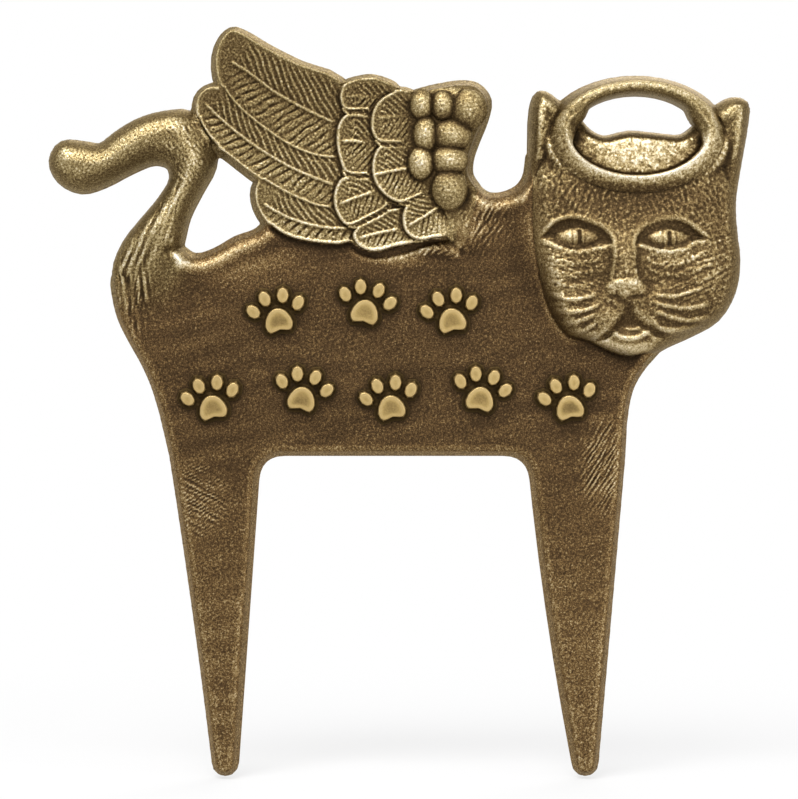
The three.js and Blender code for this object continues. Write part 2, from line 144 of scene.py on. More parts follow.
def smooth_line(points, steps=6):
    """A Catmull-Rom curve through points: each span is a cubic whose ends lean along the chord of
    the neighbours on both sides."""
    p = np.asarray(points, float)
    p = np.concatenate([2 * p[:1] - p[1:2], p, 2 * p[-1:] - p[-2:-1]])
    a, b, c, d = (p[i : len(p) - 3 + i, None] for i in range(4))
    t = np.linspace(0, 1, steps, endpoint=False)[None, :, None]
    cubic = b + t * (c - a) / 2 + t**2 * (a - 2.5 * b + 2 * c - d / 2) + t**3 * (1.5 * (b - c) + (d - a) / 2)
    return np.concatenate([cubic.reshape(-1, 2), p[-2:-1]])


def beside(points, x, z, reach=1e3):
    """Where each point lies beside a smooth line: its distance from the line, how far along the line
    it is, both in mm, and which side it is on (+1 left of the way the line runs)."""
    line = smooth_line(points)
    start, along = line[:-1], np.diff(line, axis=0)
    length = np.hypot(*along.T)
    before = np.concatenate([[0], np.cumsum(length)[:-1]])
    distance, travel, side = np.full(x.shape, 1e3), np.zeros(x.shape), np.ones(x.shape)
    near = (x > line[:, 0].min() - reach) & (x < line[:, 0].max() + reach)
    near &= (z > line[:, 1].min() - reach) & (z < line[:, 1].max() + reach)
    px, pz = x[near][:, None] - start[:, 0], z[near][:, None] - start[:, 1]
    share = np.clip((px * along[:, 0] + pz * along[:, 1]) / length**2, 0, 1)
    gap = np.hypot(px - share * along[:, 0], pz - share * along[:, 1])
    best = (np.arange(len(gap)), gap.argmin(1))
    distance[near] = gap[best]
    travel[near] = before[best[1]] + share[best] * length[best[1]]
    side[near] = np.sign((along[:, 0] * pz - along[:, 1] * px)[best])
    return distance, travel, side


def length_of(points):
    """Length of the smooth line through points, in mm."""
    return np.hypot(*np.diff(smooth_line(points), axis=0).T).sum()


def ridge(points, x, z, width, ends=1.5):
    """A rounded ridge along a smooth line: 1 on the line, falling as a bell curve of this half width,
    and dying away over its ends."""
    distance, travel, _ = beside(points, x, z, 4 * width)
    to_end = np.minimum(travel, length_of(points) - travel)
    return bell(distance, width) * ease(-0.2 * ends, ends, to_end)


def mound(x, z, middle, half, power=2.0):
    """A round hill on an oval foot: one less the squared distance in half widths, to a power."""
    spread = ((x - middle[0]) / half[0]) ** 2 + ((z - middle[1]) / half[1]) ** 2
    return np.maximum(1 - spread, 0) ** power


def grain(seed, across_size, along_size=None, angle=0.0):
    """Seeded noise of unit spread over the whole lattice, made by filtering white noise: a band about
    one wavelength across, drawn out along one direction where a second, longer size is given."""
    noise = np.random.default_rng(seed).standard_normal(across.shape)
    kx, kz = np.meshgrid(np.fft.rfftfreq(len(lattice_x), PITCH), np.fft.fftfreq(len(lattice_z), PITCH))
    turned_x = kx * math.cos(angle) + kz * math.sin(angle)
    turned_z = kz * math.cos(angle) - kx * math.sin(angle)
    if along_size is None:
        band = np.exp(-((np.hypot(kx, kz) * across_size - 1) ** 2) / 0.18)
    else:
        band = np.exp(-((np.abs(turned_z) * across_size - 1) ** 2) / 0.25)
        band *= bell(turned_x, 1 / along_size)
    field = np.fft.irfft2(np.fft.rfft2(noise) * band, across.shape)
    return field / field.std()


def sample(field, x, z):
    """A lattice field's values at any points, by straight-line interpolation."""
    column = np.clip((x - lattice_x[0]) / PITCH, 0, len(lattice_x) - 1.001)
    row = np.clip((z - lattice_z[0]) / PITCH, 0, len(lattice_z) - 1.001)
    c, r = column.astype(int), row.astype(int)
    u, v = column - c, row - r
    low = field[r, c] * (1 - u) + field[r, c + 1] * u
    return low * (1 - v) + (field[r + 1, c] * (1 - u) + field[r + 1, c + 1] * u) * v


SLIVER = 0.01  # mm; slivers on their own add up to less than this


def within_outline(points, ends, fill):
    """Which triangles of a flat fill lie inside its outline. The outline's edges divide the fill into
    regions, and a region is inside where the signed distances of its triangles add up to more than
    nothing, so that slivers along the outline go by the region that they belong to."""
    sides = np.sort(np.concatenate([fill[:, [0, 1]], fill[:, [1, 2]], fill[:, [2, 0]]]), axis=1)
    keys, walls = sides @ [len(points), 1], np.sort(ends, axis=1) @ [len(points), 1]
    order = np.argsort(keys, kind="stable")
    keys, owner = keys[order], np.tile(np.arange(len(fill)), 3)[order]
    joined = (keys[1:] == keys[:-1]) & ~np.isin(keys[1:], walls)
    one, other = owner[:-1][joined], owner[1:][joined]
    region, before = np.arange(len(fill)), None
    while before is None or (region != before).any():
        before, lowest = region, np.minimum(region[one], region[other])
        region = region.copy()
        np.minimum.at(region, one, lowest)
        np.minimum.at(region, other, lowest)
        region = region[region]
    middle = points[fill].mean(1)
    inside, _ = signed_distance(points[ends], middle[:, 0], middle[:, 1])
    return np.bincount(region, inside, len(fill))[region] > SLIVER


castings = []  # each finished mesh with the x and z of its front points, and its rim, for the wash


def cast(name, x, z, depth, nearest, level, rings):
    """A closed casting over a grid of points: the front surface at the given level of each point, cut
    to an outline, then wall rings of (mm outwards, level), and a flat back inside the last ring.
    Points within half a step of the outline move onto it, and cells keep the corners inside."""
    step = x[0, 1] - x[0, 0]
    snap = np.abs(depth) < 0.5 * step
    fx, fz = np.where(snap, nearest[..., 0], x).ravel(), np.where(snap, nearest[..., 1], z).ravel()
    keep = snap | (depth > 0)
    index = np.arange(x.size).reshape(x.shape)
    a, b, c, d = index[:-1, :-1], index[:-1, 1:], index[1:, 1:], index[1:, :-1]
    ka, kb, kc, kd = keep[:-1, :-1], keep[:-1, 1:], keep[1:, 1:], keep[1:, :-1]
    halves = [(a, b, c, ka & kb & kc), (a, c, d, ka & kc & kd)]
    halves += [(a, b, d, ka & kb & kd & ~kc), (b, c, d, kb & kc & kd & ~ka)]
    faces = np.concatenate([np.stack([i[m], j[m], k[m]], axis=1) for i, j, k, m in halves])
    used, faces = np.unique(faces, return_inverse=True)
    faces = faces.reshape(-1, 3)
    sides = np.concatenate([faces[:, [0, 1]], faces[:, [1, 2]], faces[:, [2, 0]]])
    count = len(used)
    outer = sides[~np.isin(sides[:, 0] * count + sides[:, 1], sides[:, 1] * count + sides[:, 0])]
    rim, ends = np.unique(outer, return_inverse=True)
    ends = ends.reshape(-1, 2)
    slope_z, slope_x = np.gradient(depth, step)
    steep = np.maximum(np.hypot(slope_x, slope_z), 1e-6).ravel()
    out_x, out_z = (-slope_x.ravel() / steep)[used][rim], (-slope_z.ravel() / steep)[used][rim]
    top = np.stack([fx[used], -level.ravel()[used], fz[used]], axis=1)
    points, triangles, above = [top], [faces], rim
    for outwards, ring_level in rings:
        lower = len(np.concatenate(points)) + np.arange(len(rim))
        ring_level = np.broadcast_to(ring_level, x.shape).ravel()[used][rim]
        ring = [top[rim, 0] + outwards * out_x, -ring_level, top[rim, 2] + outwards * out_z]
        points.append(np.stack(ring, axis=1))
        i, j = ends.T
        triangles += [np.stack([above[j], above[i], lower[i]], axis=1)]
        triangles += [np.stack([above[j], lower[i], lower[j]], axis=1)]
        above = lower
    flat = points[-1][:, [0, 2]]
    made = delaunay_2d_cdt([tuple(p) for p in flat], ends.tolist(), [], 0, 1e-5)
    source = np.array([group[0] if group else 0 for group in made[3]])
    fill = source[np.array([f for f in made[2] if len(f) == 3])]
    triangles.append(above[fill[within_outline(flat, ends, fill)]][:, ::-1])
    points, triangles = np.concatenate(points) * MM, np.concatenate(triangles)
    mesh = bpy.data.meshes.new(name)
    mesh.vertices.add(len(points))
    mesh.vertices.foreach_set("co", points.ravel().astype(np.float32))
    mesh.loops.add(triangles.size)
    mesh.loops.foreach_set("vertex_index", triangles.ravel().astype(np.int32))
    mesh.polygons.add(len(triangles))
    mesh.polygons.foreach_set("loop_start", np.arange(0, triangles.size, 3, dtype=np.int32))
    mesh.polygons.foreach_set("use_smooth", np.ones(len(triangles), bool))
    mesh.update(calc_edges=True)
    ring_of = np.full(len(points), -1)
    ring_of[rim], ring_of[above] = 0, 1
    pairs = np.empty(2 * len(mesh.edges), np.int32)
    mesh.edges.foreach_get("vertices", pairs)
    one, other = ring_of[pairs.reshape(-1, 2)].T
    sharp = mesh.attributes.new("sharp_edge", "BOOLEAN", "EDGE")
    sharp.data.foreach_set("value", (one >= 0) & (one == other))
    piece = bpy.data.objects.new(name, mesh)
    bpy.context.scene.collection.objects.link(piece)
    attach(piece, "root")
    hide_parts(name.removesuffix("_casting"))
    castings.append((piece, top[:, 0], top[:, 2], rim))
    return piece


NOT_COUNTED = ("plaque", "shoulder", "halo", "paw")  # the plate, what lies on other pieces, and the prints
PIECES_ON_PLATE = [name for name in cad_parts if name.split("_")[0] not in NOT_COUNTED]
FAR = 30.0  # mm; stands for any distance that no longer matters
footprint = {}  # each piece's rows and columns of the lattice, depth inside its outline, nearest edge
clear_of_pieces = np.full(across.shape, FAR)
for name in PIECES_ON_PLATE:
    edges = outline(name, PLATE_FRONT)
    window = around(edges)
    depth, nearest = signed_distance(edges, across[window], up[window])
    footprint[name] = window, depth, nearest
    clear_of_pieces[window] = np.minimum(clear_of_pieces[window], -depth)

plate_edges = outline("plaque_plate", PLATE_FRONT)
plate_foot = outline("plaque_plate", 0.0)
every = slice(None, None, PLATE_STEP)
plate_x, plate_z = across[every, every], up[every, every]
plate_depth, plate_nearest = signed_distance(plate_edges, plate_x, plate_z)
near_edge = np.abs(plate_depth) < 6
foot_depth, foot_nearest = plate_depth.copy(), plate_nearest.copy()
foot_depth[near_edge], foot_nearest[near_edge] = signed_distance(
    plate_foot, plate_x[near_edge], plate_z[near_edge])
at_edge = np.abs(plate_depth) < 0.5 * PITCH * PLATE_STEP
plate_x = np.where(at_edge, plate_nearest[..., 0], plate_x)
plate_z = np.where(at_edge, plate_nearest[..., 1], plate_z)
plate_depth = np.where(at_edge, 0, plate_depth)
clear = clear_of_pieces[every, every]

# wide soft shoulders along the back, with a low ridge inside them; tight ones on the stakes
wide = ease(74, 96, plate_z) * ease(62, 44, plate_x) * ease(0.3, 3, clear)
edge_drop = EDGE_DROP + (BACK_DROP - EDGE_DROP) * wide
edge_run = EDGE_RUN + (BACK_RUN - EDGE_RUN) * wide
plate_level = PLATE_FRONT - edge_drop * (1 - quarter_round(plate_depth, edge_run))
plate_level += BACK_RIDGE * bell(plate_depth - RIDGE_INSET, RIDGE_HALF) * wide


def on_lattice(window, values, elsewhere):
    """A window's values on the whole lattice, with one value everywhere else."""
    whole = np.full(across.shape, float(elsewhere))
    whole[window] = values
    return whole


def distance_from(name, reach):
    """Distance of the lattice's points from a node's outline, in mm, negative inside it; points beyond
    a reach count as far."""
    edges = outline(name, PLATE_FRONT)
    window = around(edges, reach)
    return on_lattice(window, -signed_distance(edges, across[window], up[window])[0], FAR)


def fall_off(distance, reach):
    """1 inside an outline, and a bell curve of the distance outside it."""
    return bell(np.maximum(distance, 0), reach)


# the haunch, which swells up to the tail's root
HAUNCH_RISE, HAUNCH_REACH = 2.6, 6.0
off_edge = ease(0, 3, plate_depth)
from_tail = distance_from("tail", 14.0)
haunch = HAUNCH_RISE * ease(82, 106, up)
beside_tail = fall_off(from_tail, HAUNCH_REACH)
plate_level += (haunch * beside_tail)[every, every] * off_edge * ease(-60, -68, plate_x)

# the nape, which swells up to the wing's root, and the web left between the short feathers
NAPE_RISE, NAPE_REACH = 2.3, 5.5
WEB_RISE = 2.4
nape_swell = NAPE_RISE * ease(100, 109, up) * ease(14, 20, across)
nape_swell *= fall_off(distance_from("wing_shoulder", 12.0), NAPE_REACH)
plate_level += nape_swell[every, every] * off_edge
plate_level += WEB_RISE * mound(plate_x, plate_z, (-2.3, 117.3), (5, 5), 1)

# the neck, which swells up to the left side of the face
NECK_RISE, NECK_REACH = 2.4, 5.5
from_face = distance_from("head", 14.0)
neck = NECK_RISE * ease(84, 104, up) * ease(64, 54, across)
plate_level += (neck * fall_off(from_face, NECK_REACH))[every, every] * off_edge

# fur combed into the flat parts: long locks on the rump, short strokes on the patches below
LOCK_DEPTH = 0.36
locks = grain(11, 2.4, 15, math.radians(66)) * ease(92, 102, up)
locks += grain(17, 2.4, 15, math.radians(96)) * ease(102, 92, up)
locks = np.tanh(locks + 0.4 * grain(18, 1.3, 6, math.radians(80))) * (0.8 + 0.3 * grain(19, 9.0))
on_rump = mound(across, up, (-89, 94), (9, 27), 1)
FUR_PATCHES = [  # seed, width and length of the strokes, lean in degrees, depth, middle, half widths
    (12, 1.3, 9, -28, 0.26, (-66, 21), (12, 13)),  # the top of the rear leg
    (13, 1.2, 8, 58, 0.26, (67, 32), (9, 18)),  # the chest
    (14, 1.6, 4, 62, 0.16, (27, 113), (12, 14)),  # the nape
]
free = ease(0.2, 1.2, clear) * ease(0.3, 1.2, plate_depth)
for seed, width, length, lean, deep, middle, half in FUR_PATCHES:
    strokes = grain(seed, width, length, math.radians(lean))[every, every]
    plate_level += deep * free * strokes * mound(plate_x, plate_z, middle, half, 1)
plate_level += LOCK_DEPTH * (locks * on_rump)[every, every] * ease(0.3, 1.2, plate_depth)

# the swell of flank and haunch, and the sand's own unevenness
FLANK_SWELL, SAND_DEPTH = 0.1, 0.03
uneven = FLANK_SWELL * grain(15, 34.0) + SAND_DEPTH * grain(16, 1.6)
plate_level += free * uneven[every, every]

# a furrow under the wing, with a small veined tuft below its end
FURROW = [(-16, 104.6), (-12, 102), (-6, 101), (0.5, 102.2), (7, 104.4), (13.4, 106.2), (17.4, 106.4),
          (20, 104), (21, 100.8)]
FURROW_DEPTH, FURROW_HALF = 0.7, 0.9
TUFT = [(5, 102.6), (10.8, 103.6), (16, 102.9), (20.6, 100.4)]
TUFT_RISE, VEIN_RISE, VEIN_PITCH, MIDRIB_RISE = 0.55, 0.28, 2.6, 0.45
plate_level -= FURROW_DEPTH * ridge(FURROW, plate_x, plate_z, FURROW_HALF) * ease(-0.2, 0.4, clear)
tuft_off, tuft_along, _ = beside(TUFT, plate_x, plate_z, 6)
tuft = ease(2.6, 1.2, tuft_off) * ease(0, 0.8, clear)
tuft *= ease(0, 3, tuft_along) * ease(0, 4, length_of(TUFT) - tuft_along)
veins = np.cos(2 * np.pi * (tuft_along + 1.2 * tuft_off) / VEIN_PITCH)
plate_level += tuft * (TUFT_RISE + VEIN_RISE * veins)
plate_level += MIDRIB_RISE * ridge(TUFT, plate_x, plate_z, 0.7, 4)

# the drafted wall, from the front edge out to the square land at the back
slope = np.clip(foot_depth / np.maximum(foot_depth - plate_depth, 1e-6), 0, 1)
wall_level = EDGE_LAND + (PLATE_FRONT - edge_drop - EDGE_LAND) * slope
shown = np.where(plate_depth < 0, wall_level, np.where(clear < -0.5, PLATE_FRONT - 0.6, plate_level))
plate = cast("plaque_plate_casting", plate_x, plate_z, foot_depth, foot_nearest, shown, [(0.0, 0.0)])
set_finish(plate, "antique_brass_field")


def refine(field):
    """A field of the plate's points on the whole lattice, halfway values between neighbours."""
    fine = np.empty(across.shape)
    fine[::2, ::2] = field
    fine[1::2, ::2] = (field[:-1] + field[1:]) / 2
    fine[:, 1::2] = (fine[:, :-1:2] + fine[:, 2::2]) / 2
    return fine


# one map of the whole front, for the wash: every piece adds itself to it
GROUND_LEVEL = PLATE_FRONT - 2.0  # stands for the air round the plaque, so that edges count as high
front_map = refine(np.where(plate_depth >= 0, plate_level, GROUND_LEVEL))
edge_map = refine(plate_depth)
SEAT = PLATE_FRONT - 0.9  # castings reach this far into the plate's skin, so no gap shows under them
LEDGE = 0.55  # mm that a piece is let out by along the silhouette, to the plate's front edge
TUCK = 2.4  # mm that it runs on under the pieces that cover it


def blur(field, size):
    """A bell-curve average about each point of the lattice, worked out on the waves of the field."""
    kx, kz = np.meshgrid(np.fft.rfftfreq(len(lattice_x), PITCH), np.fft.fftfreq(len(lattice_z), PITCH))
    weight = np.exp(-2 * (np.pi * size) ** 2 * (kx**2 + kz**2))
    return np.fft.irfft2(np.fft.rfft2(field) * weight, field.shape)


def at_silhouette(window, nearest, size=0.0):
    """1 where the nearest point of a piece's outline runs along the plaque's silhouette, else 0, with
    the change between them spread over a size in mm."""
    share = ease(1.9, 1.0, sample(edge_map, nearest[..., 0], nearest[..., 1]))
    if size == 0:
        return share
    spread, known = blur(on_lattice(window, share, 0), size), blur(on_lattice(window, 1, 0), size)
    return (spread / np.maximum(known, 1e-3))[window]


def edge_point(window, depth):
    """The nearest point of a depth field's edge, found down the field's slope."""
    slope_z, slope_x = np.gradient(depth, PITCH)
    steep = np.maximum(slope_x**2 + slope_z**2, 0.25)
    edge_x = across[window] - depth * slope_x / steep
    edge_z = up[window] - depth * slope_z / steep
    return np.stack([edge_x, edge_z], axis=-1)


def let_out(window, depth, outside, ledge=LEDGE, covered=None):
    """A piece's depth field, let out at the silhouette by its share there and in under the pieces that
    cover it, with the nearest point of the new outline."""
    depth = depth + ledge * outside
    if covered is not None:
        depth = depth + TUCK * ease(1.5, 0.3, covered)
    return depth, edge_point(window, depth)


def seat_casting(name, window, depth, nearest, height, floor=SEAT):
    """Puts a relief piece of the given height above the plate's front on the plate, and on the map."""
    level = PLATE_FRONT + height
    piece = cast(name + "_casting", across[window], up[window], depth, nearest, level, [(0.0, floor)])
    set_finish(piece, "antique_brass_relief")
    front_map[window] = np.where(depth > 0, np.maximum(front_map[window], level), front_map[window])
    return piece


# Tail
# A round, solid tail that curls over at its tip and runs out into the rump at its root. Cast with
# the plate; its top is rubbed bright and painted brighter where it faces up, and long tufts are combed
# into its root and its bend.


def relief_of(name):
    """Height of a node's top above the plate's front, in mm."""
    return -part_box(name)[0].y / MM - PLATE_FRONT


TAIL_RELIEF = relief_of("tail")
TAIL_ROUND = 6.5  # mm from its edge to the top of its round
TAIL_OVER = 1.5  # mm that its round runs on down over the plate's wall
TAIL_FOOT = 4.4  # mm below the plate's front where that round ends
WING_EDGE, WING_WAY = (-67.2, 149.4), (-0.872, -0.489)  # a point of the wing's edge, and the way out of it
UNDER_WING = 1.9  # mm above the plate where it dips under that edge
window, depth, nearest = footprint["tail"]
outside = at_silhouette(window, nearest, 1.6)
depth, nearest = let_out(window, depth, outside, LEDGE + TAIL_OVER)
x, z = across[window], up[window]
run = TAIL_ROUND + TAIL_OVER * outside
combed = locks[window] * (on_rump[window] + 0.55 * mound(x, z, (-77.5, 119), (10, 20), 1))
bend = np.tanh(grain(22, 1.7, 6, math.radians(126)) + 0.5 * grain(25, 1.4, 4, math.radians(112)))
bend = bend * (0.6 + 0.4 * grain(26, 5.0))
combed += 0.5 * bend[window] * mound(x, z, (-69, 135), (14, 14), 0.7)
to_wing = WING_WAY[0] * (x - WING_EDGE[0]) + WING_WAY[1] * (z - WING_EDGE[1])
at_wing = UNDER_WING + (TAIL_RELIEF - UNDER_WING) * ease(-1, 9, to_wing)
tail_low = np.where(z > 118, at_wing, haunch[window] + 0.08) * (1 - outside) - TAIL_FOOT * outside
tail_top = np.maximum(at_wing * ease(82, 110, z), tail_low)
at_root = (1 - outside) * ease(118, 106, z)  # no crease along the root, which runs out into the rump
rounded = quarter_round(depth, run) * (1 - at_root) + ease(0, run, depth) * at_root
tail_height = tail_low + (tail_top - tail_low) * rounded
tail_height += LOCK_DEPTH * combed * ease(0.2, 1.5, depth + 9 * (1 - outside))
tail_height += SAND_DEPTH * grain(23, 1.3)[window] * ease(0, 2, depth)
tail_height = np.minimum(tail_height, TAIL_RELIEF)
seat_casting("tail", window, depth, nearest, tail_height, SEAT - TAIL_FOOT * outside)


# Primary feathers
# The three long feathers of the wing's tip. Each is a cast leaf with a raised rim, a quill down its
# middle and barbs cut slantwise into both vanes, and each runs in under the shorter ones.

VANE_SUNK = 0.75  # mm that the vane lies below the feather's top
RIM_INSET, RIM_HALF, RIM_RISE = 0.65, 0.4, 0.42
EDGE_ROUND, EDGE_FALL = 0.55, 0.9  # mm over which the edge is rounded off, and how far down
BARB_RISE, CUT_DEPTH = 0.34, 0.5
SHAFT_RISE = 0.6


def feather(x, z, depth, covered, quill, relief, barbs, slants, waver, shaft_rise, shaft_half):
    """Height of a feather: a sunk vane inside a raised rim, plus a bell-shaped quill, plus barbs that
    lean to the tip: thin raised ones above the quill, uneven cuts below it. The quill's points run from
    the tip to the root. The rim dies out where another feather covers the edge. barbs and slants give
    the spacing and the lean above and below, and waver, in radians, makes the strokes uneven."""
    points = np.asarray(quill, float)
    reach = 40 * (points[0] - points[1]) / np.hypot(*(points[0] - points[1]))
    back = 40 * (points[-1] - points[-2]) / np.hypot(*(points[-1] - points[-2]))
    off, along, side = beside([points[0] + reach, *points, points[-1] + back], x, z)
    along = along - np.hypot(*reach)
    length = length_of(points)
    bare = ease(0.3, 1.8, covered)
    rim = bell(depth - RIM_INSET, RIM_HALF) * bare
    fall = (1 - quarter_round(depth, EDGE_ROUND)) * bare
    upper = side > 0
    phase = (along + np.where(upper, *slants) * off) / np.where(upper, *barbs)
    wave = 0.5 + 0.5 * np.cos(2 * np.pi * phase + waver)
    uneven = 0.65 + 0.35 * np.sin(4 * waver + 0.6 * along)
    strokes = np.where(upper, BARB_RISE * wave**2 - 0.2, 0.1 - CUT_DEPTH * wave**3 * uneven)
    strokes *= ease(0.7, 2.2, depth + 2 * (1 - bare)) * ease(0.3, 1.0, off) * ease(0, 5, along)
    shaft = bell(off, shaft_half)
    shaft *= ease(-0.5, 1.5, along) * ease(length + 1, length - 1, along)
    return relief - VANE_SUNK + RIM_RISE * rim + shaft_rise * shaft + strokes - EDGE_FALL * fall


def covered_by(names, window):
    """Distance from the nearest of the named pieces, in mm, over a part of the lattice."""
    distance = np.full(across[window].shape, FAR)
    for name in names:
        over, depth, _ = footprint[name]
        distance = np.minimum(distance, on_lattice(over, -depth, FAR)[window])
    return distance


SHOULDER = ["wing_shoulder"]
COVERTS = [f"covert_feather_{i}" for i in (1, 2, 3)]
SECONDARIES = [f"secondary_feather_{i}" for i in (1, 2, 3, 4)]
feather_grain = grain(31, 1.2)
barb_waver = 0.45 * grain(32, 9.0)


def seat_feathers(row, quills, above, barbs, slants, first_rise, shaft_half, rough, diving=None):
    """Casts a row of feathers, numbered from the top. Each runs in under the rows above it and under
    those before it in its own row. The diving one also sinks at its end, in under the nape's fur."""
    for number, quill in enumerate(quills, 1):
        name = f"{row}_feather_{number}"
        window, depth, nearest = footprint[name]
        covered = covered_by(above + [f"{row}_feather_{i}" for i in range(1, number)], window)
        depth, nearest = let_out(window, depth, at_silhouette(window, nearest), covered=covered)
        shaft_rise = first_rise if number == 1 else SHAFT_RISE
        height = feather(across[window], up[window], depth, covered, quill, relief_of(name), barbs, slants,
                         barb_waver[window], shaft_rise, shaft_half)
        height += rough * feather_grain[window] * ease(0.3, 1.5, depth)
        if number == diving:
            height -= 1.4 * ease(3.6, -0.4, covered) * ease(119, 114, up[window])
            height -= 3 * ease(-0.4, -1.8, covered)
        seat_casting(name, window, depth, nearest, height)


PRIMARY_QUILLS = [
    [(-54.9, 164.7), (-49.6, 161.4), (-41.6, 155.4), (-34.9, 151.4), (-28.3, 148), (-21.9, 145)],
    [(-63.2, 150.7), (-58.3, 146), (-51.6, 140.4), (-44.9, 135.7), (-38.3, 131.7), (-31.7, 128.4),
     (-22, 124.6)],
    [(-44.2, 118.2), (-39.9, 115.5), (-34.9, 113.2), (-28.3, 111.2), (-21.6, 110.2), (-16.7, 110.2)],
]
OVER_PRIMARIES = SHOULDER + COVERTS + SECONDARIES
seat_feathers("primary", PRIMARY_QUILLS, OVER_PRIMARIES, (3.3, 2.7), (1.5, 0.55), SHAFT_RISE, 0.42, 0.05)


# Secondary feathers
# Four short, broad feathers that cover the roots of the long ones, cast the same way, with a short
# quill and a few deep barbs. The top one's quill hardly shows.

SECONDARY_QUILLS = [
    [(-17.6, 153.4), (-13.5, 153.2), (-9, 153)],
    [(-19, 138.7), (-15, 138.6), (-10.2, 138.2)],
    [(-19.3, 118), (-14.5, 120), (-8.5, 122)],
    [(-13, 106.8), (-7.5, 108.4), (-0.6, 109.8)],
]
seat_feathers("secondary", SECONDARY_QUILLS, SHOULDER + COVERTS, (2.2, 2.1), (1.0, 0.8), 0.2, 0.5, 0.06)


# Covert feathers
# Three more short feathers, the uppermost row, between the others and the pebbled shoulder. Cast
# with them; the end of the lowest one dives in under the fur of the nape.

COVERT_QUILLS = [
    [(-7.8, 146), (-4.5, 146.2), (0.5, 146.6)],
    [(-8, 127.5), (-3, 128.6), (2.9, 129.7)],
    [(2.9, 110.8), (7.8, 113.6), (13.2, 117.1)],
]
seat_feathers("covert", COVERT_QUILLS, SHOULDER, (2.2, 2.0), (1.0, 0.8), 0.15, 0.5, 0.06, diving=3)


# Wing shoulder
# The root of the wing: a smooth rounded leading edge that carries the pebble-like scales, and runs
# out at its foot into combed fur on the cat's back.

def soften(field, passes):
    """A field averaged with its four neighbours, again and again, which rounds the corners in it."""
    for _ in range(passes):
        upright = np.roll(field, 1, 0) + np.roll(field, -1, 0)
        sideways = np.roll(field, 1, 1) + np.roll(field, -1, 1)
        field = 0.5 * field + 0.125 * (upright + sideways)
    return field


SHOULDER_RELIEF = relief_of("wing_shoulder")
SHOULDER_FUR, SHOULDER_SAND = 0.14, 0.05
TOP_EDGE, TOP_EDGE_RISE = [(11.6, 147), (14, 150), (17.5, 152.4), (21, 153)], 0.9
window, depth, nearest = footprint["wing_shoulder"]
x, z = across[window], up[window]
# what lies round it is carried on under it like a stretched skin, for its foot to run out on
skin = np.maximum(front_map[window], PLATE_FRONT)
for _ in range(1200):
    skin = np.where(depth > -0.9, soften(skin, 1), skin)
tucked = ease(0.1, -0.35, depth)
from_coverts = covered_by(COVERTS, window)
depth, nearest = let_out(window, depth, at_silhouette(window, nearest), covered=from_coverts)
bare, clear_of_coverts = ease(0.3, 1.8, from_coverts), ease(0.5, 4, from_coverts)
run = 1.2 + 4.2 * ease(12, 24, x) + 7 * ease(14, 22, x) * ease(126, 114, z)
swollen = SHOULDER_RELIEF + 0.6 * mound(x, z, (13, 137), (17, 24), 0.6) * clear_of_coverts
swollen += 0.4 * mound(x, z, (22, 149), (12, 10), 1) * clear_of_coverts
swollen *= ease(104, 118, z - 0.6 * np.maximum(x - 20, 0))
low = (skin - PLATE_FRONT + 0.05) * (1 - at_silhouette(window, nearest, 1.6))
at_foot = ease(128, 116, z)  # no crease where it runs out into the nape
rounded = quarter_round(depth, run) * (1 - at_foot) + ease(0, run, depth) * at_foot
shoulder_height = low + (np.maximum(swollen, low) - low) * (1 - 0.97 * bare * (1 - rounded))
combed = np.tanh(grain(41, 1.6, 4, math.radians(62)) * (0.6 + 0.4 * grain(44, 6.0)))[window]
uneven = SHOULDER_FUR * combed * ease(124, 112, z) + SHOULDER_SAND * grain(42, 1.4)[window]
shoulder_height += uneven * ease(0.3, 1.2, depth)
shoulder_height += TOP_EDGE_RISE * ridge(TOP_EDGE, x, z, 2.4) * ease(0, 2, depth)
seat_casting("wing_shoulder", window, depth, nearest, shoulder_height - 1.4 * tucked)


# Shoulder scales
# Eight pebble-like small feathers, domed and set close together on the wing's shoulder, rubbed
# bright on top with a painted highlight there, and dark wash left between them.

def edges_along(points):
    """The edges of an outline given as points, of which the last is the first again."""
    return np.stack([points[:-1], points[1:]], axis=1)


def oval(middle, half, count=120):
    """Edges of an ellipse: the cosine and sine of equal turns, in half widths from the middle."""
    turn = np.linspace(0, 2 * np.pi, count + 1)
    return edges_along(middle + half * np.stack([np.cos(turn), np.sin(turn)], axis=1))


SCALE_SPREAD = 1.44  # neighbours run into each other a little at the foot
SCALE_FULLNESS = 0.55  # power of the dome; a lower one is blunter
SCALE_SINK = 0.8  # mm that they reach into the shoulder
scale_grain = grain(43, 1.5)
bead_dome = np.zeros(across.shape)
for number in range(1, 9):
    name = f"shoulder_scale_{number}"
    low, high = (np.array(corner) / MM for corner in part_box(name))
    middle, half = (low + high)[[0, 2]] / 2, SCALE_SPREAD * (high - low)[[0, 2]] / 2
    edges = oval(middle, half, 64)
    window = around(edges, 1.0)
    x, z = across[window], up[window]
    depth, nearest = signed_distance(edges, x, z)
    dome = mound(x, z, middle, half, SCALE_FULLNESS)
    pitted = dome * (1 + 0.015 * scale_grain[window]) / 1.03
    height = -high[1] - PLATE_FRONT + (high[1] - low[1]) * pitted
    bead_dome[window] = np.maximum(bead_dome[window], dome)
    seat_casting(name, window, depth, nearest, height, floor=-high[1] - SCALE_SINK)


# Head
# The cat's head, seen from the front: a shallow mask with deep-set eyes under arched brows, a broad
# nose, whisker ridges on the muzzle and short fur all over. Cast with the plate, wiped by hand.

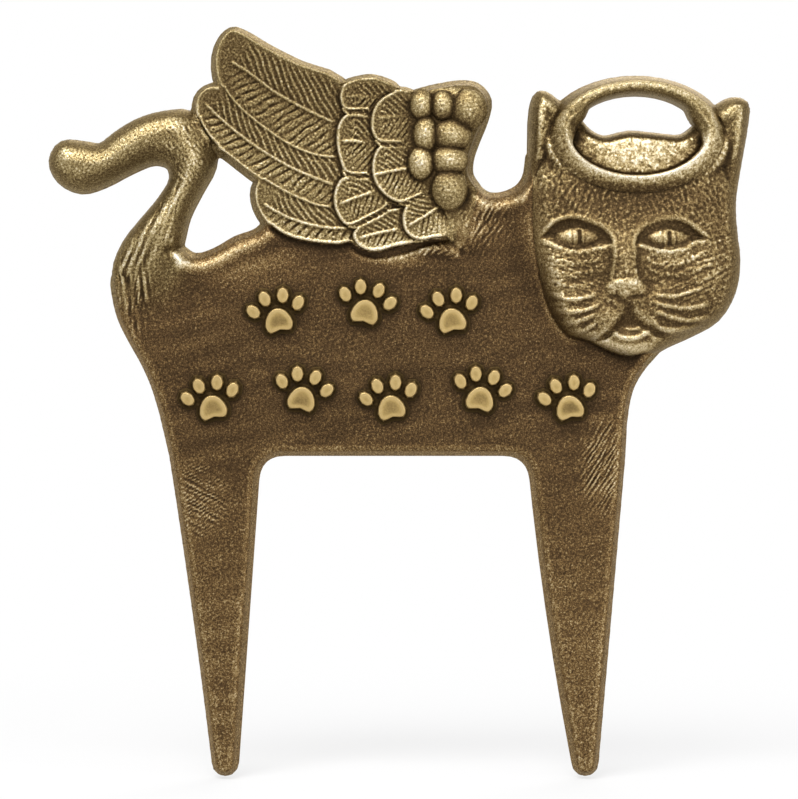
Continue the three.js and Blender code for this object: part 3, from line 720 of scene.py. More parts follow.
HEAD_FLANGE = 2.5  # height of the head's edge, and of the shelf that the halo lies on
HEAD_OVER, HEAD_FOOT = 1.5, 4.2  # mm that its edge rolls out over the plate's wall, and down it
SKULL_MIDDLE, SKULL_HALF, SKULL_RISE = (76, 106), (36, 44), 6.5
LEFT_BROW = [(45.1, 106.4), (46.8, 108.6), (50.7, 112.1), (55.9, 113.6), (60.7, 112.8), (65.9, 111),
             (68.8, 108.1), (69.9, 104.6), (70.1, 99.5)]
RIGHT_BROW = [(77.6, 98.6), (76.5, 103.9), (76.6, 107.6), (78.9, 111), (83.6, 113.2), (89.3, 113.6),
              (94.1, 111.8), (97.9, 108.9), (101.8, 106)]
LEFT_LID = [(70, 104.4), (66, 103.6), (62, 102.8), (57.5, 102.5), (53, 103.5), (49, 105.2), (45.1, 106.6)]
RIGHT_LID = [(101.8, 106), (96.6, 105.3), (93.4, 103.5), (88.2, 102.4), (83.5, 102.9), (79.6, 104),
             (77, 104.8)]
WHISKERS = [
    [(48.4, 89), (54.6, 86.7), (60.1, 87.1), (64.6, 88.7)],
    [(50, 83.2), (55.9, 82.5), (61, 83.2), (65.3, 85.3)],
    [(52, 78.6), (57.8, 79.3), (64, 81.9)],
    [(56.6, 75), (60.4, 76.6), (64.6, 79.4)],
    [(82.6, 88.1), (89.3, 87.7), (92.9, 88.5), (99.7, 90.8)],
    [(82.5, 85.6), (87.7, 84.4), (93.5, 83.8), (101.3, 85.1)],
    [(82.8, 83), (89.3, 80.6), (94.8, 79.9), (102.3, 81.2)],
    [(81.8, 80.4), (85.1, 77.2), (91.6, 76.7), (100, 78.6)],
]
CHEEK_TUFTS = [
    [(78.8, 100.4), (86.9, 97.6), (93.5, 99.4), (101.5, 102.6)],
    [(80, 97.2), (88, 94.4), (95.5, 95.8), (103.5, 99.4)],
    [(81.4, 94), (90, 91.2), (97.5, 92.4), (105, 96)],
    [(46.6, 101), (52, 98.8), (58, 98.6), (66, 100.4)],
    [(46.9, 97.4), (54, 94.8), (60.5, 95.2), (67, 97.4)],
    [(48, 93.4), (55, 91.2), (61, 91.4), (66.4, 93.2)],
]
HEAD_SWELLS = [  # mm of rise, middle, half widths, power
    (1.2, (74.5, 118), (24, 13), 2.0),  # the forehead
    (2.0, (46.6, 144), (8, 15), 2.0), (2.0, (109, 142), (8, 15), 2.0),  # the ears
    (1.8, (52.5, 92), (11, 17), 2.0), (1.8, (100.5, 92), (11, 17), 2.0),  # the cheeks
    (2.6, (61.5, 82.5), (14, 11), 1.5), (2.6, (88, 82.5), (15, 11), 1.5),  # the muzzle's two pads
    (0.9, (67.4, 79.8), (6, 5.5), 1.5), (0.5, (80.6, 79.4), (5, 5), 1.5),  # the pads' inner lobes
    (0.9, (73.7, 90.6), (7.4, 3.2), 0.8),  # the tip of the nose
    (-0.4, (69.8, 87.4), (2.8, 1.1), 2.0), (-0.4, (77.6, 87.4), (2.8, 1.1), 2.0),  # the nostrils
]
HEAD_RIDGES = [  # mm of rise, half width, how far its ends run out, line
    (0.75, 0.9, 5, LEFT_BROW), (0.75, 0.9, 5, RIGHT_BROW),
    (0.3, 0.9, 1.5, LEFT_LID), (0.5, 0.9, 1.5, RIGHT_LID),
    (0.3, 0.8, 3, [(70, 103), (70, 99), (69.2, 95.5), (68.2, 92.5)]),  # the left side of the nose
    (-0.55, 0.9, 1.5, [(77, 106), (77.6, 99.4), (79, 93)]),  # the furrow along its right side
    (0.8, 1.7, 1.5, [(73.7, 90), (73.7, 87.5), (73.6, 85.8)]),  # what hangs down between the nostrils
    (0.35, 0.5, 1.5, [(73, 77.4), (76, 76.9), (79.2, 77.6)]),  # the line of the mouth
    (0.8, 2.2, 1.5, [(45.6, 132), (46, 143), (47.4, 150), (50.4, 149), (54, 146.2)]),  # the ears' rims
    (0.8, 2.2, 1.5, [(110, 132), (111, 142), (111, 147.4), (108.4, 147.6), (104, 145)]),
] + [(0.85, 0.8, 3, line) for line in WHISKERS]

window, depth, nearest = footprint["head"]
outside = at_silhouette(window, nearest, 1.6)
depth, nearest = let_out(window, depth, outside, LEDGE + HEAD_OVER)
x, z = across[window], up[window]
head = HEAD_FLANGE + SKULL_RISE * mound(x, z, SKULL_MIDDLE, SKULL_HALF, 0.7)
for rise, middle, half, power in HEAD_SWELLS:
    head += rise * mound(x, z, middle, half, power)
for rise, width, ends, line in HEAD_RIDGES:
    head += rise * ridge(line, x, z, width, ends)

# the bridge of the nose, which widens down to a broad, flat tip
NOSE_MIDDLE, NOSE_RISE = 73.4, 2.0
at_tip = ease(98, 91, z)
bridge_half = 3.6 + 0.1 * (108 - z) + 0.9 * at_tip
bridge = np.exp(-1.2 * np.abs((x - NOSE_MIDDLE) / bridge_half) ** (2 + 2 * at_tip))
head += NOSE_RISE * bridge * ease(84, 93, z) * ease(120, 102, z)

# eyes: a socket sunk below the brow, and in it a pointed eyeball with a slit pupil between two creases
SOCKET_DEPTH, BALL_RISE = 1.5, 1.9
SLITS = [(0.8, 0.7), (0.25, 0.4), (0.2, 0.4)]  # mm of depth and of half width: the pupil, the two creases
EYES = [  # middle and half widths of the ball, the socket's loop, where the slits stand
    ((57.6, 106.8), (7.4, 3.5), LEFT_BROW[:-1] + LEFT_LID[1:-1], (58.8, 60.4, 56.4)),
    ((87.9, 106.4), (7.6, 3.4), RIGHT_BROW[1:] + RIGHT_LID[1:-1], (88, 90.2, 85.8)),
]
for middle, half, socket, places in EYES:
    sunk, _ = signed_distance(edges_along(smooth_line(socket + socket[:1])), x, z)
    spread = np.abs((x - middle[0]) / half[0]) ** 1.5 + ((z - middle[1]) / half[1]) ** 2
    ball = np.maximum(1 - spread, 0) ** 0.75
    head += BALL_RISE * ball - SOCKET_DEPTH * ease(-0.6, 2.4, sunk)
    for place, (deep, width) in zip(places, SLITS):
        head -= deep * bell(x - place, width) * ease(0.35, 0.75, ball)

# mouth: below the two round muzzle pads the face steps back, and the chin with its lip lies there
UNDER_PADS = [(50, 77), (55.8, 73.4), (61.8, 72.8), (66.5, 74.4), (70.9, 77.8), (73.4, 81.4), (74.6, 83.6),
              (75.8, 81.6), (78.6, 78.8), (82.7, 76.2), (86.9, 74.9), (93, 74.9), (100, 78)]
LIP = [(69, 76.6), (71.6, 74.8), (75.2, 74), (79, 74.9), (82.5, 77.1)]
STEP_BACK, CHIN_RISE, LIP_RISE = 1.7, 2.3, 0.8
loop = np.concatenate([smooth_line(UNDER_PADS), [(100, 60), (50, 60), (50, 77)]])
below_pads, _ = signed_distance(edges_along(loop), x, z)
chin_place = ease(0.0, 1.6, below_pads)
head -= (STEP_BACK - 0.4 * ease(75, 81, z)) * ease(-2.4, 0.8, below_pads)
head += CHIN_RISE * mound(x, z, (75.8, 71.6), (13, 7), 1) * chin_place
head += LIP_RISE * ridge(LIP, x, z, 0.9) * ease(-0.5, 0.6, below_pads)

# cheek tufts and short fur, with the eyes, the brows and the chin left smooth
FUR_DEPTH = 0.07
HEAD_FUR = [  # seed, width and length of the strokes, lean in degrees, middle and half widths
    (54, 1.5, 4, -14, (54, 96), (18, 18)), (55, 1.8, 9, 22, (97, 98), (19, 19)),  # the cheeks
    (56, 1.9, 3.2, 66, (60, 122), (24, 15)), (57, 1.9, 3.2, 114, (92, 122), (26, 15)),  # the forehead
]
fur = (0.5 * grain(51, 1.1) + 0.7 * grain(52, 2.0) + 0.5 * grain(53, 4.4))[window]
combed = np.zeros(x.shape)
for seed, width, length, lean, middle, half in HEAD_FUR:
    combed += grain(seed, width, length, math.radians(lean))[window] * mound(x, z, middle, half, 0.7)
for line in CHEEK_TUFTS:
    head += (0.24 + 0.05 * fur) * ridge(line, x, z, 0.9, 3)
brows = np.maximum(ridge(LEFT_BROW, x, z, 1.2), ridge(RIGHT_BROW, x, z, 1.2))
smooth_parts = [np.sqrt(mound(x, z, eye[0], eye[1], 1)) for eye in EYES] + [0.7 * chin_place, 0.7 * brows]
coat = FUR_DEPTH * (fur + combed) * (1 - np.maximum.reduce(smooth_parts))

# crown: a dome inside the halo that falls back towards the top edge; the forehead sinks to the halo
halo_low, halo_high = (np.array(corner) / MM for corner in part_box("halo"))
HALO_MIDDLE, HALO_HALF = (halo_low + halo_high)[[0, 2]] / 2, (halo_high - halo_low)[[0, 2]] / 2
HALO_SIDE_RIM, HALO_TOP_RIM, HALO_LOW_RIM = 6.2, 2.9, 5.6
window_middle = HALO_MIDDLE + [0, (HALO_LOW_RIM - HALO_TOP_RIM) / 2]
window_half = HALO_HALF - [HALO_SIDE_RIM, (HALO_LOW_RIM + HALO_TOP_RIM) / 2]
in_window, _ = signed_distance(oval(window_middle, window_half), x, z)
in_halo, _ = signed_distance(oval(HALO_MIDDLE, HALO_HALF), x, z)
HALO_DIP, DIP_SLOPE = 5.6, 0.26  # mm of height beside the halo, and how fast the forehead may rise from there
BANK_RISE, BANK_REACH = 5.4, 4.0  # mm: the bank that the halo lies against
CROWN_LOW, CROWN_RISE, CROWN_TOP, CROWN_MIDDLE = 2.2, 3.6, 142.5, 77.8
dip = HALO_DIP + DIP_SLOPE * np.maximum(-in_halo, 0)
head = (head + dip - np.sqrt((head - dip) ** 2 + 0.6)) / 2  # the lower of both, with a rounded corner
bank = BANK_RISE * fall_off(-in_halo, BANK_REACH) * ease(150, 136, z)
head = (head + bank + np.sqrt((head - bank) ** 2 + 0.4)) / 2 + coat  # the higher of both
crown = np.sqrt(np.clip((CROWN_TOP - z) / 15, 0, 1)) * (1 - ((x - CROWN_MIDDLE) / 30) ** 2)
crown = CROWN_LOW + CROWN_RISE * crown + 0.04 * fur - 0.4 * bell(in_window, 0.7)
head = np.where(in_window > 0, crown, head)

# the edge: a soft roll into the body on the left and under the chin, a tighter one at the silhouette
merging = ease(64, 50, x) * ease(130, 118, z)
roll = 3.0 + 3.0 * merging - 0.6 * ease(128, 140, z) + HEAD_OVER * outside
foot = 0.2 + neck[window] * (1 - outside) - HEAD_FOOT * outside
head = foot + np.maximum(head - foot, 0) * quarter_round(depth, roll) ** (1 + 0.5 * merging)
skin_map = front_map.copy()  # the front with the head on it, before the shelf for the halo is cut
skin_map[window] = np.where(depth > 0, PLATE_FRONT + head, skin_map[window])
head = np.where((in_halo > 0.3) & (in_window < -0.3), np.minimum(head, HEAD_FLANGE), head)
seat_casting("head", window, depth, nearest, head, SEAT - HEAD_FOOT * outside)


# Halo
# A cast ring over the ears: it rises from its outer edge to a bright crest near the window, and then
# drops steeply to the wall of the window. It lies on the head's shelf below and on the plate above.

edges = np.concatenate([oval(HALO_MIDDLE, HALO_HALF), oval(window_middle, window_half)])
window = around(edges)
x, z = across[window], up[window]
HALO_OVER, HALO_FOOT = 1.2, 4.0  # mm that it rolls out over the plate's wall, and down it
HALO_RELIEF = -halo_low[1] - PLATE_FRONT
CREST_INSET, CREST_RISE, CREST_HALF = 0.9, 0.3, 0.5  # mm: the thin bead along the crest
CORNER_RUN = 2.8  # mm that the inner wall slopes into the window over, at the window's two corners
OVER_SILHOUETTE = 1.4  # mm that the outer edge lies below the plate's front
SHELF_SINK = 0.3  # mm that it reaches into the head's shelf
to_outer, near_outer = signed_distance(oval(HALO_MIDDLE, HALO_HALF), x, z)
to_window, near_window = signed_distance(oval(window_middle, window_half), x, z)
from_ring = on_lattice(window, -to_outer, FAR)
outside = at_silhouette(window, near_outer, 1.6)
inside = at_silhouette(window, near_window, 1.6) * ease(141, 150, near_window[..., 1])
to_outer = to_outer + (LEDGE + HALO_OVER) * outside
to_window = to_window - (LEDGE + HALO_OVER) * inside
to_crest = np.maximum(-to_window, 0)
corners = mound(x, z, (57.6, 144), (9, 8), 2) + mound(x, z, (98.8, 144), (9, 8), 2)
to_window = to_window - CORNER_RUN * corners
inside = np.maximum(inside, corners)
depth = np.minimum(to_outer, -to_window)
nearest = edge_point(window, depth)
from_outer, from_window = np.maximum(to_outer, 0), np.maximum(-to_window, 0)
share = from_outer / np.maximum(from_outer + to_crest, 1e-6)
round_it = sample(blur(skin_map, 1.3), *np.moveaxis(near_outer, -1, 0))
foot = (round_it - PLATE_FRONT + 0.05) * (1 - outside) - OVER_SILHOUETTE * outside
crest = 0.78 - 0.24 * ease(138, 149, z)
rounded = np.sin(np.pi / 2 * np.clip(share / crest, 0, 1))
climb = rounded + (ease(-0.15, crest + 0.04, share) - rounded) * 0.4 * (1 - outside)
halo = foot + (HALO_RELIEF - CREST_RISE - foot) * climb
halo += CREST_RISE * bell(to_crest - CREST_INSET, CREST_HALF)
run = 0.7 + 1.3 * inside + CORNER_RUN * corners
halo -= (0.9 + 5 * inside) * (1 - quarter_round(from_window, run))
halo += 0.04 * grain(61, 1.4)[window] + 0.04 * grain(62, 3.0)[window]
over_head = on_lattice(*footprint["head"][:2], -FAR)
on_ring = on_lattice(window, ease(0, 0.8, depth), 0)
crest_line = on_lattice(window, bell(to_crest - CREST_INSET, 0.65), 0)
halo_floor = np.where(over_head[window] > 0, PLATE_FRONT + HEAD_FLANGE - SHELF_SINK, SEAT)
halo_floor -= HALO_FOOT * np.maximum(outside, inside)
seat_casting("halo", window, depth, nearest, np.minimum(halo, HALO_RELIEF), halo_floor)


# Paw prints
# A generic trail of raised prints across the cat's side: a pad and four toes with flat, satin gold
# tops and dark drafted sides, on a thin web. Cast with the plate, the tops rubbed clean.

PRINT_STEP = 0.15  # mm between the points of a print's surface
WEB_LOW, WEB_HIGH = 0.1, 0.4  # mm of height of the web, at its edge and further in
PRINT_MARGIN = 0.5
for number in range(1, 9):
    name = f"paw_print_{number}"
    low, high = (np.array(corner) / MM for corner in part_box(name))
    web_edges, pad_edges = outline(name, PLATE_FRONT), outline(name, -low[1])
    columns = np.arange(low[0] - PRINT_MARGIN, high[0] + PRINT_MARGIN, PRINT_STEP)
    rows = np.arange(low[2] - PRINT_MARGIN, high[2] + PRINT_MARGIN, PRINT_STEP)
    x, z = np.meshgrid(columns, rows)
    depth, nearest = signed_distance(web_edges, x, z)
    pad_depth = soften(signed_distance(pad_edges, x, z)[0], 40)
    relief = -low[1] - PLATE_FRONT
    height = WEB_LOW + (WEB_HIGH - WEB_LOW) * ease(0, 0.8, depth)
    height += (relief - WEB_HIGH) * ease(-0.35, 0.45, pad_depth)
    piece = cast(name + "_casting", x, z, depth, nearest, PLATE_FRONT + height, [(0.0, SEAT)])
    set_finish(piece, "satin_brass")
    window = around(web_edges)
    on_map, _ = signed_distance(pad_edges, across[window], up[window])
    raised = PLATE_FRONT + relief * ease(-0.35, 0.45, on_map)
    front_map[window] = np.where(on_map > -0.35, np.maximum(front_map[window], raised), front_map[window])


# Antique wash, with painted highlights and shade
# The finish of the whole casting: dark wash over everything, wiped off what stands up. What stands
# higher than its surroundings, near and wide, is worn bright; grooves and corners stay dark. Slopes that
# face up, and a few single places, get painted highlights or painted shade on top of that.

NEAR, WIDE = 0.8, 3.2  # mm about a point that its height is set against
on_plaque = (edge_map > 0).astype(float)


def above_average(size):
    """How far each point of the front stands above the plaque's average about it, in mm."""
    return front_map - blur(front_map * on_plaque, size) / np.maximum(blur(on_plaque, size), 0.01)


on_face = ease(0, 1.5, over_head) * ease(128, 118, up)  # its grooves hold less wash than the wing's
# slopes that face up are painted brighter: a painted highlight of the light from above
upward_slope_highlight = -np.gradient(blur(front_map, 1.0), PITCH, axis=0) * ease(0.5, 3, edge_map)
rise = 2.6 * np.clip(above_average(NEAR), 0.5 * on_face - 0.7, 0.22 - 0.06 * on_face)
rise += 0.28 * np.clip(above_average(WIDE), -2.5, 1.2) + 0.3 * np.clip(upward_slope_highlight, -0.7, 0.9)
wear_and_light_map = 0.5 + 0.5 * np.tanh(rise)

# the rump is handled most, and the crown is painted brighter, a painted highlight of the light from above;
# the flat field and the forehead keep their wash, and the plate grows lighter towards its foot
on_plate = ease(-0.2, 0.6, clear_of_pieces)
olive_map = beside_tail * ease(74, 100, up)
on_crown = on_lattice(footprint["head"][0], ease(0, 1.5, in_window), 0)
wear_and_light_map += 0.3 * mound(across, up, (77.8, 134), (24, 11), 1) * (1 - on_plate) + 0.08 * olive_map
wear_and_light_map += on_crown * (0.05 * grain(71, 4.0) + 0.06 * grain(72, 1.4) - 0.12 * ease(70, 58, across))
wear_and_light_map -= 0.16 * mound(across, up, (74, 119), (36, 11), 1)
wear_and_light_map -= 0.1 * np.maximum(on_plate, beside_tail) * (1 - olive_map)
wear_and_light_map += on_plate * (0.11 * ease(45, -30, up) + 0.02 * grain(73, 9.0, 26, math.radians(8)))
wear_and_light_map += (0.02 + 0.12 * ease(20, 80, up)) * bell(edge_map - 0.7, 0.7) * on_plate
# each eye gets a painted highlight left of its pupil and is duller all round
for middle, half, _, places in EYES:
    wear_and_light_map += 0.17 * mound(across, up, (places[0] - 3.4, middle[1] + 0.4), (3.0, 2.4), 1)
    wear_and_light_map -= 0.08 * mound(across, up, middle, half, 0.5)

# the wing is lighter low down and a little darker at its top, the scales get a painted highlight on their
# tops and darken down their sides, and the tail keeps some wash in its pits
WHOLE = (slice(None), slice(None))
PRIMARIES = [f"primary_feather_{i}" for i in (1, 2, 3)]
on_wing = ease(0.3, -0.3, covered_by(OVER_PRIMARIES + PRIMARIES, WHOLE))
wear_and_light_map += (0.07 - 0.11 * ease(122, 160, up)) * on_wing
on_scales = ease(0, 0.25, bead_dome)
wear_and_light_map += (0.3 * bead_dome**4 - 0.2) * on_scales
among_scales = ease(0.2, 0.6, blur((bead_dome > 0).astype(float), 0.8))
wear_and_light_map = np.maximum(wear_and_light_map, 0.24 * among_scales)
on_tail = ease(0.5, -0.5, from_tail) * ease(94, 108, up)
wear_and_light_map -= on_tail * (0.05 + 0.3 * ease(1.0, 2.0, grain(24, 1.0)))

# creases that the cloth got into, round the halo and below the muzzle
below_muzzle = bell(on_lattice(footprint["head"][0], below_pads, FAR), 1.5)
wear_and_light_map += 0.22 * bell(from_ring, 1.6) * (over_head > 0)
wear_and_light_map += 0.24 * below_muzzle * ease(-0.5, 0.5, over_head) * ease(80, 76, up)
# down the left cheek the edge takes the tone of the neck
cheek_edge = ease(3.8, 0.5, over_head) * ease(-2.4, -0.6, over_head)
cheek_edge *= ease(66, 52, across) * ease(130, 118, up)
wear_and_light_map += (0.57 - wear_and_light_map) * 0.6 * cheek_edge
# the furrow under the wing and the tuft beside it catch the light
wear_and_light_map += 0.16 * ridge(FURROW, across, up, 1.6) + 0.05 * ridge(TUFT, across, up, 2.4)
# the ring: rubbed bright along its crest, with a painted highlight there, a little lighter low down, painted
# shade on its left, and nowhere worn to white
ring_light_and_wear = 0.1 * crest_line + 0.02 * ease(144, 136, up) - 0.09 * ease(66, 50, across)
wear_and_light_map += on_ring * (ring_light_and_wear - 0.6 * np.maximum(wear_and_light_map - 0.78, 0))

# single places made lighter or darker than their height gives, among them painted shade in the corners of the
# halo's window and a painted highlight where the tail meets the back
TONE_AND_LIGHT_TOUCHES = [  # how much, middle, half widths, power
    (0.06, (75.6, 72), (12, 7), 0.5), (0.08, (73.7, 90.6), (8, 4), 0.7),  # chin and nose
    (0.16, (74.4, 83.5), (4, 5), 1), (-0.05, (73.4, 101), (6, 10), 1),  # below the nose, its bridge
    (-0.06, (66.6, 81.5), (7, 6), 1), (-0.05, (83.4, 83), (7, 6), 1),  # the muzzle's pads
    (0.2, (89.5, 100.6), (11, 3.4), 1), (-0.06, (106, 117), (6, 15), 1),  # the right lower lid and temple
    (-0.2, (58.4, 143), (5, 6), 1), (-0.2, (98, 143), (5, 6), 1),  # painted shade in the corners of the halo's window
    (0.14, (60, 139), (6, 7), 1), (0.14, (96, 139), (6, 7), 1),  # the ends of the crown
    (-0.13, (17.4, 123), (8, 8), 1), (0.1, (18.6, 113), (4.5, 8), 1),  # the lowest scale, the fur below it
    (-0.25, (18.6, 107.3), (3, 2.4), 1), (0.16, (1.5, 101.5), (10, 4.5), 1),  # the furrow's end and middle
    (0.15, (-74.5, 103), (4, 4), 1),  # a painted highlight where the tail meets the back
]
PLATE_TOUCHES = [  # the same, on the plate alone: the back, the rear leg, the chest and the nape
    (0.14, (-52, 98), (26, 9)), (0.08, (-66, 22), (12, 14)),
    (0.1, (67, 34), (9, 18)), (0.1, (31, 114), (15, 13)),
]
for change, middle, half, power in TONE_AND_LIGHT_TOUCHES:
    wear_and_light_map += change * mound(across, up, middle, half, power)
for change, middle, half in PLATE_TOUCHES:
    wear_and_light_map += change * mound(across, up, middle, half, 1) * on_plate
under_jaw = fall_off(from_face, 2.5) * on_plate * ease(76, 62, across)
wear_and_light_map += under_jaw * (0.14 * ease(118, 108, up) + 0.12 * ease(90, 82, up))

# where the lowest covert runs out into the nape no seam shows
beside_coverts = fall_off(covered_by(COVERTS, WHOLE), 5)
beside_coverts *= ease(13, 17, across) * ease(103, 107, up) * ease(124, 118, up)
wear_and_light_map += 0.1 * beside_coverts * (1 - on_scales)
at_seam = mound(across, up, (17, 109.5), (4.5, 9), 0.7)
wear_and_light_map += (blur(wear_and_light_map, 1.5) - wear_and_light_map) * 0.85 * at_seam
# the face and the ring are nowhere as dark as the wing's grooves
in_eyes = [mound(across, up, eye[0], np.multiply(eye[1], 1.4), 0.5) for eye in EYES]
face_floor = (0.36 - 0.06 * ease(110, 116, up) - 0.12 * np.maximum.reduce(in_eyes)) * on_face
wear_and_light_map = np.maximum(wear_and_light_map, 0.4 * on_ring + face_floor * (1 - on_ring))

# walls and edges are evenly worn, save for the crown's top edge, which stays dull
WALL_WEAR, PIECE_EDGE_WEAR, RIM_WEAR = 0.56, 0.54, 0.52
at_crown = mound(across, up, (77.8, 143), (26, 6), 0.5) * (1 - on_ring)
worn_and_lit = wear_and_light_map - 0.2 * at_crown * ease(3, 0.5, edge_map)
worn_and_lit = np.maximum(worn_and_lit, RIM_WEAR * ease(3.4, 1.6, edge_map) * (1 - 0.3 * at_crown))
worn_and_lit = worn_and_lit + (WALL_WEAR - worn_and_lit) * ease(0.0, -0.5, edge_map)
worn_and_lit_soft = blur(worn_and_lit, 0.8)
# the relief is more olive than the field, and fades into it; the face and the ring's low side are browner
FACE_WARMTH, RING_WARMTH = 0.15, 0.25
olive_map = np.maximum(olive_map, ease(6, 3, clear_of_pieces) * ease(0.2, -0.2, edge_map))
olive_map = np.maximum(olive_map, beside_coverts)
for piece, front_x, front_z, rim in castings:
    front = slice(len(front_x))
    edge_wear = WALL_WEAR if piece == plate else PIECE_EDGE_WEAR
    wear_and_light = np.full(len(piece.data.vertices), edge_wear, np.float32)
    wear_and_light[front] = sample(worn_and_lit, front_x, front_z)
    wear_and_light[rim] = sample(worn_and_lit_soft, front_x[rim], front_z[rim])
    olive = np.full(len(wear_and_light), float(piece["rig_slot"] == "antique_brass_relief"), np.float32)
    if piece.name in ("plaque_plate_casting", "tail_casting"):
        olive[front] = sample(olive_map, front_x, front_z)
    if piece.name == "wing_shoulder_casting":
        fading = ease(100, 122, front_z - 0.6 * np.maximum(front_x - 20, 0))
        olive[front] = np.maximum(fading, sample(beside_coverts, front_x, front_z))
    if piece.name in ("head_casting", "halo_casting"):
        olive[front] -= sample(FACE_WARMTH * on_face, front_x, front_z)
        olive[front] -= RING_WARMTH * ease(146, 136, front_z)
    for key, values in (("wear_and_light", wear_and_light), ("olive", olive)):
        piece.data.attributes.new(key, "FLOAT", "POINT").data.foreach_set("value", values)


def linear(code):
    """An sRGB hex colour as linear red, green, blue and alpha."""
    parts = [int(code[i : i + 2], 16) / 255 for i in (1, 3, 5)]
    return [c / 12.92 if c <= 0.04045 else ((c + 0.055) / 1.055) ** 2.4 for c in parts] + [1.0]


def add(tree, kind, settings=(), **inputs):
    """Adds one node, with its settings, and sets or links its inputs by name; a number after an
    underscore picks an input by place."""
    node = tree.nodes.new(kind)
    for key, value in dict(settings).items():
        setattr(node, key, value)
    for key, value in inputs.items():
        socket = node.inputs[int(key[1:])] if key[0] == "_" else node.inputs[key.replace("_", " ")]
        if isinstance(value, bpy.types.NodeSocket):
            tree.links.new(value, socket)
        else:
            socket.default_value = value
    return node


ROUGH_WASH, ROUGH_RUBBED = 0.6, 0.34
SKIN_MM = 0.25  # depth of the grit
METAL_SHARE = 0.8  # the wash and the clear coat over it take away a part of the metal
SHEEN = "#f0e4cc"


def antique_brass(name, warm_tones, olive_tones, grit_mm, speck_mm, contrast):
    """Sand-cast aluminium with an antique brass finish. To the eye it is a dull, warm metal: wear, with the
    painted highlights and shade carried along with it, picks a tone from dark wash to rubbed gold, warmer
    in the field and more olive on the relief, what is rubbed is glossier, and the sand's grit, as noise of
    two sizes, breaks the tone into specks and roughens the skin."""
    material = bpy.data.materials.new(name)
    material.use_nodes = True
    tree = material.node_tree
    tree.nodes.clear()
    place = add(tree, "ShaderNodeTexCoord").outputs["Object"]
    worn_and_lit = add(tree, "ShaderNodeAttribute", {"attribute_name": "wear_and_light"}).outputs["Fac"]
    olive = add(tree, "ShaderNodeAttribute", {"attribute_name": "olive"}).outputs["Fac"]
    grit = add(tree, "ShaderNodeTexNoise", Vector=place, Scale=1 / (grit_mm * MM), Detail=3.0,
               Roughness=0.65)
    speck = add(tree, "ShaderNodeTexNoise", Vector=place, Scale=1 / (speck_mm * MM), Detail=2.0,
                Roughness=0.6)
    sand = add(tree, "ShaderNodeMath", {"operation": "ADD"}, _0=grit.outputs["Fac"], _1=speck.outputs["Fac"])
    sand = sand.outputs[0]
    fleck = add(tree, "ShaderNodeMath", {"operation": "MULTIPLY_ADD"}, _0=sand, _1=contrast, _2=-contrast)
    tone = add(tree, "ShaderNodeMath", {"operation": "ADD", "use_clamp": True}, _0=worn_and_lit, _1=fleck.outputs[0])
    tone = tone.outputs[0]
    colours = []
    for tones in (warm_tones, olive_tones):
        ramp = add(tree, "ShaderNodeValToRGB", Fac=tone)
        stops = ramp.color_ramp.elements
        while len(stops) < len(tones):
            stops.new(0.5)
        for stop, (position, code) in zip(stops, tones):
            stop.position, stop.color = position, linear(code)
        colours.append(ramp.outputs["Color"])
    colour = add(tree, "ShaderNodeMix", {"data_type": "RGBA"}, _0=olive, _6=colours[0], _7=colours[1])
    gloss = add(tree, "ShaderNodeMapRange", Value=tone, To_Min=ROUGH_WASH, To_Max=ROUGH_RUBBED)
    skin = add(tree, "ShaderNodeBump", Strength=0.5, Distance=SKIN_MM * MM, Height=sand)
    metal = add(tree, "ShaderNodeBsdfPrincipled", Base_Color=colour.outputs[2], Roughness=gloss.outputs[0],
                Normal=skin.outputs["Normal"], Metallic=METAL_SHARE, Specular_Tint=linear(SHEEN))
    add(tree, "ShaderNodeOutputMaterial", Surface=metal.outputs[0])
    return material


FIELD_TONES = [(0.0, "#261a0b"), (0.3, "#40301d"), (0.42, "#523e27"), (0.5, "#654d2f"), (0.6, "#80663f"),
               (0.7, "#a18a5f"), (0.86, "#cdba94"), (1.0, "#f0e4c8")]
RELIEF_TONES = [(0.0, "#231909"), (0.3, "#40311b"), (0.42, "#534226"), (0.5, "#655335"), (0.6, "#7d6b45"),
                (0.7, "#9b885c"), (0.86, "#cbb98f"), (1.0, "#f4ead3")]
PRINT_TONES = [(0.0, "#33260f"), (0.4, "#5a4728"), (0.6, "#b59a61"), (0.8, "#cdb27a"), (1.0, "#dcc48f")]
# moulding sand is about 0.15 mm, too fine to show, so both sizes of grit are drawn two to five times as
# coarse; the prints' satin tops, which were rubbed clean, only cloud a little over 1.4 mm
finishes = {
    "antique_brass_field": antique_brass("antique_brass_dark_wash", FIELD_TONES, RELIEF_TONES,
                                         grit_mm=0.65, speck_mm=0.38, contrast=0.86),
    "antique_brass_relief": antique_brass("antique_brass_rubbed", FIELD_TONES, RELIEF_TONES,
                                          grit_mm=0.7, speck_mm=0.4, contrast=0.7),
    "satin_brass": antique_brass("satin_brass_rubbed_tops", PRINT_TONES, PRINT_TONES,
                                 grit_mm=1.4, speck_mm=0.5, contrast=0.12),
}
for piece, *_ in castings:
    piece.data.materials.append(finishes[piece["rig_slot"]])


# Studio
# A pale floor under the stakes, a white background, a broad soft light above and in front, and a
# camera straight in front at the height of the cat's middle.

FLOOR_GAP = 0.5 * MM
FLOOR_SIZE = 8  # metres
FADE_NEAR, FADE_FAR = 0.05, 0.45  # metres from the stakes between which the floor turns white
bpy.ops.mesh.primitive_plane_add(size=FLOOR_SIZE, location=(0, 0, plate_low.z - FLOOR_GAP))
floor = bpy.context.object
floor.name = "floor"
paper = bpy.data.materials.new("white_paper")
paper.use_nodes = True
tree = paper.node_tree
tree.nodes.clear()


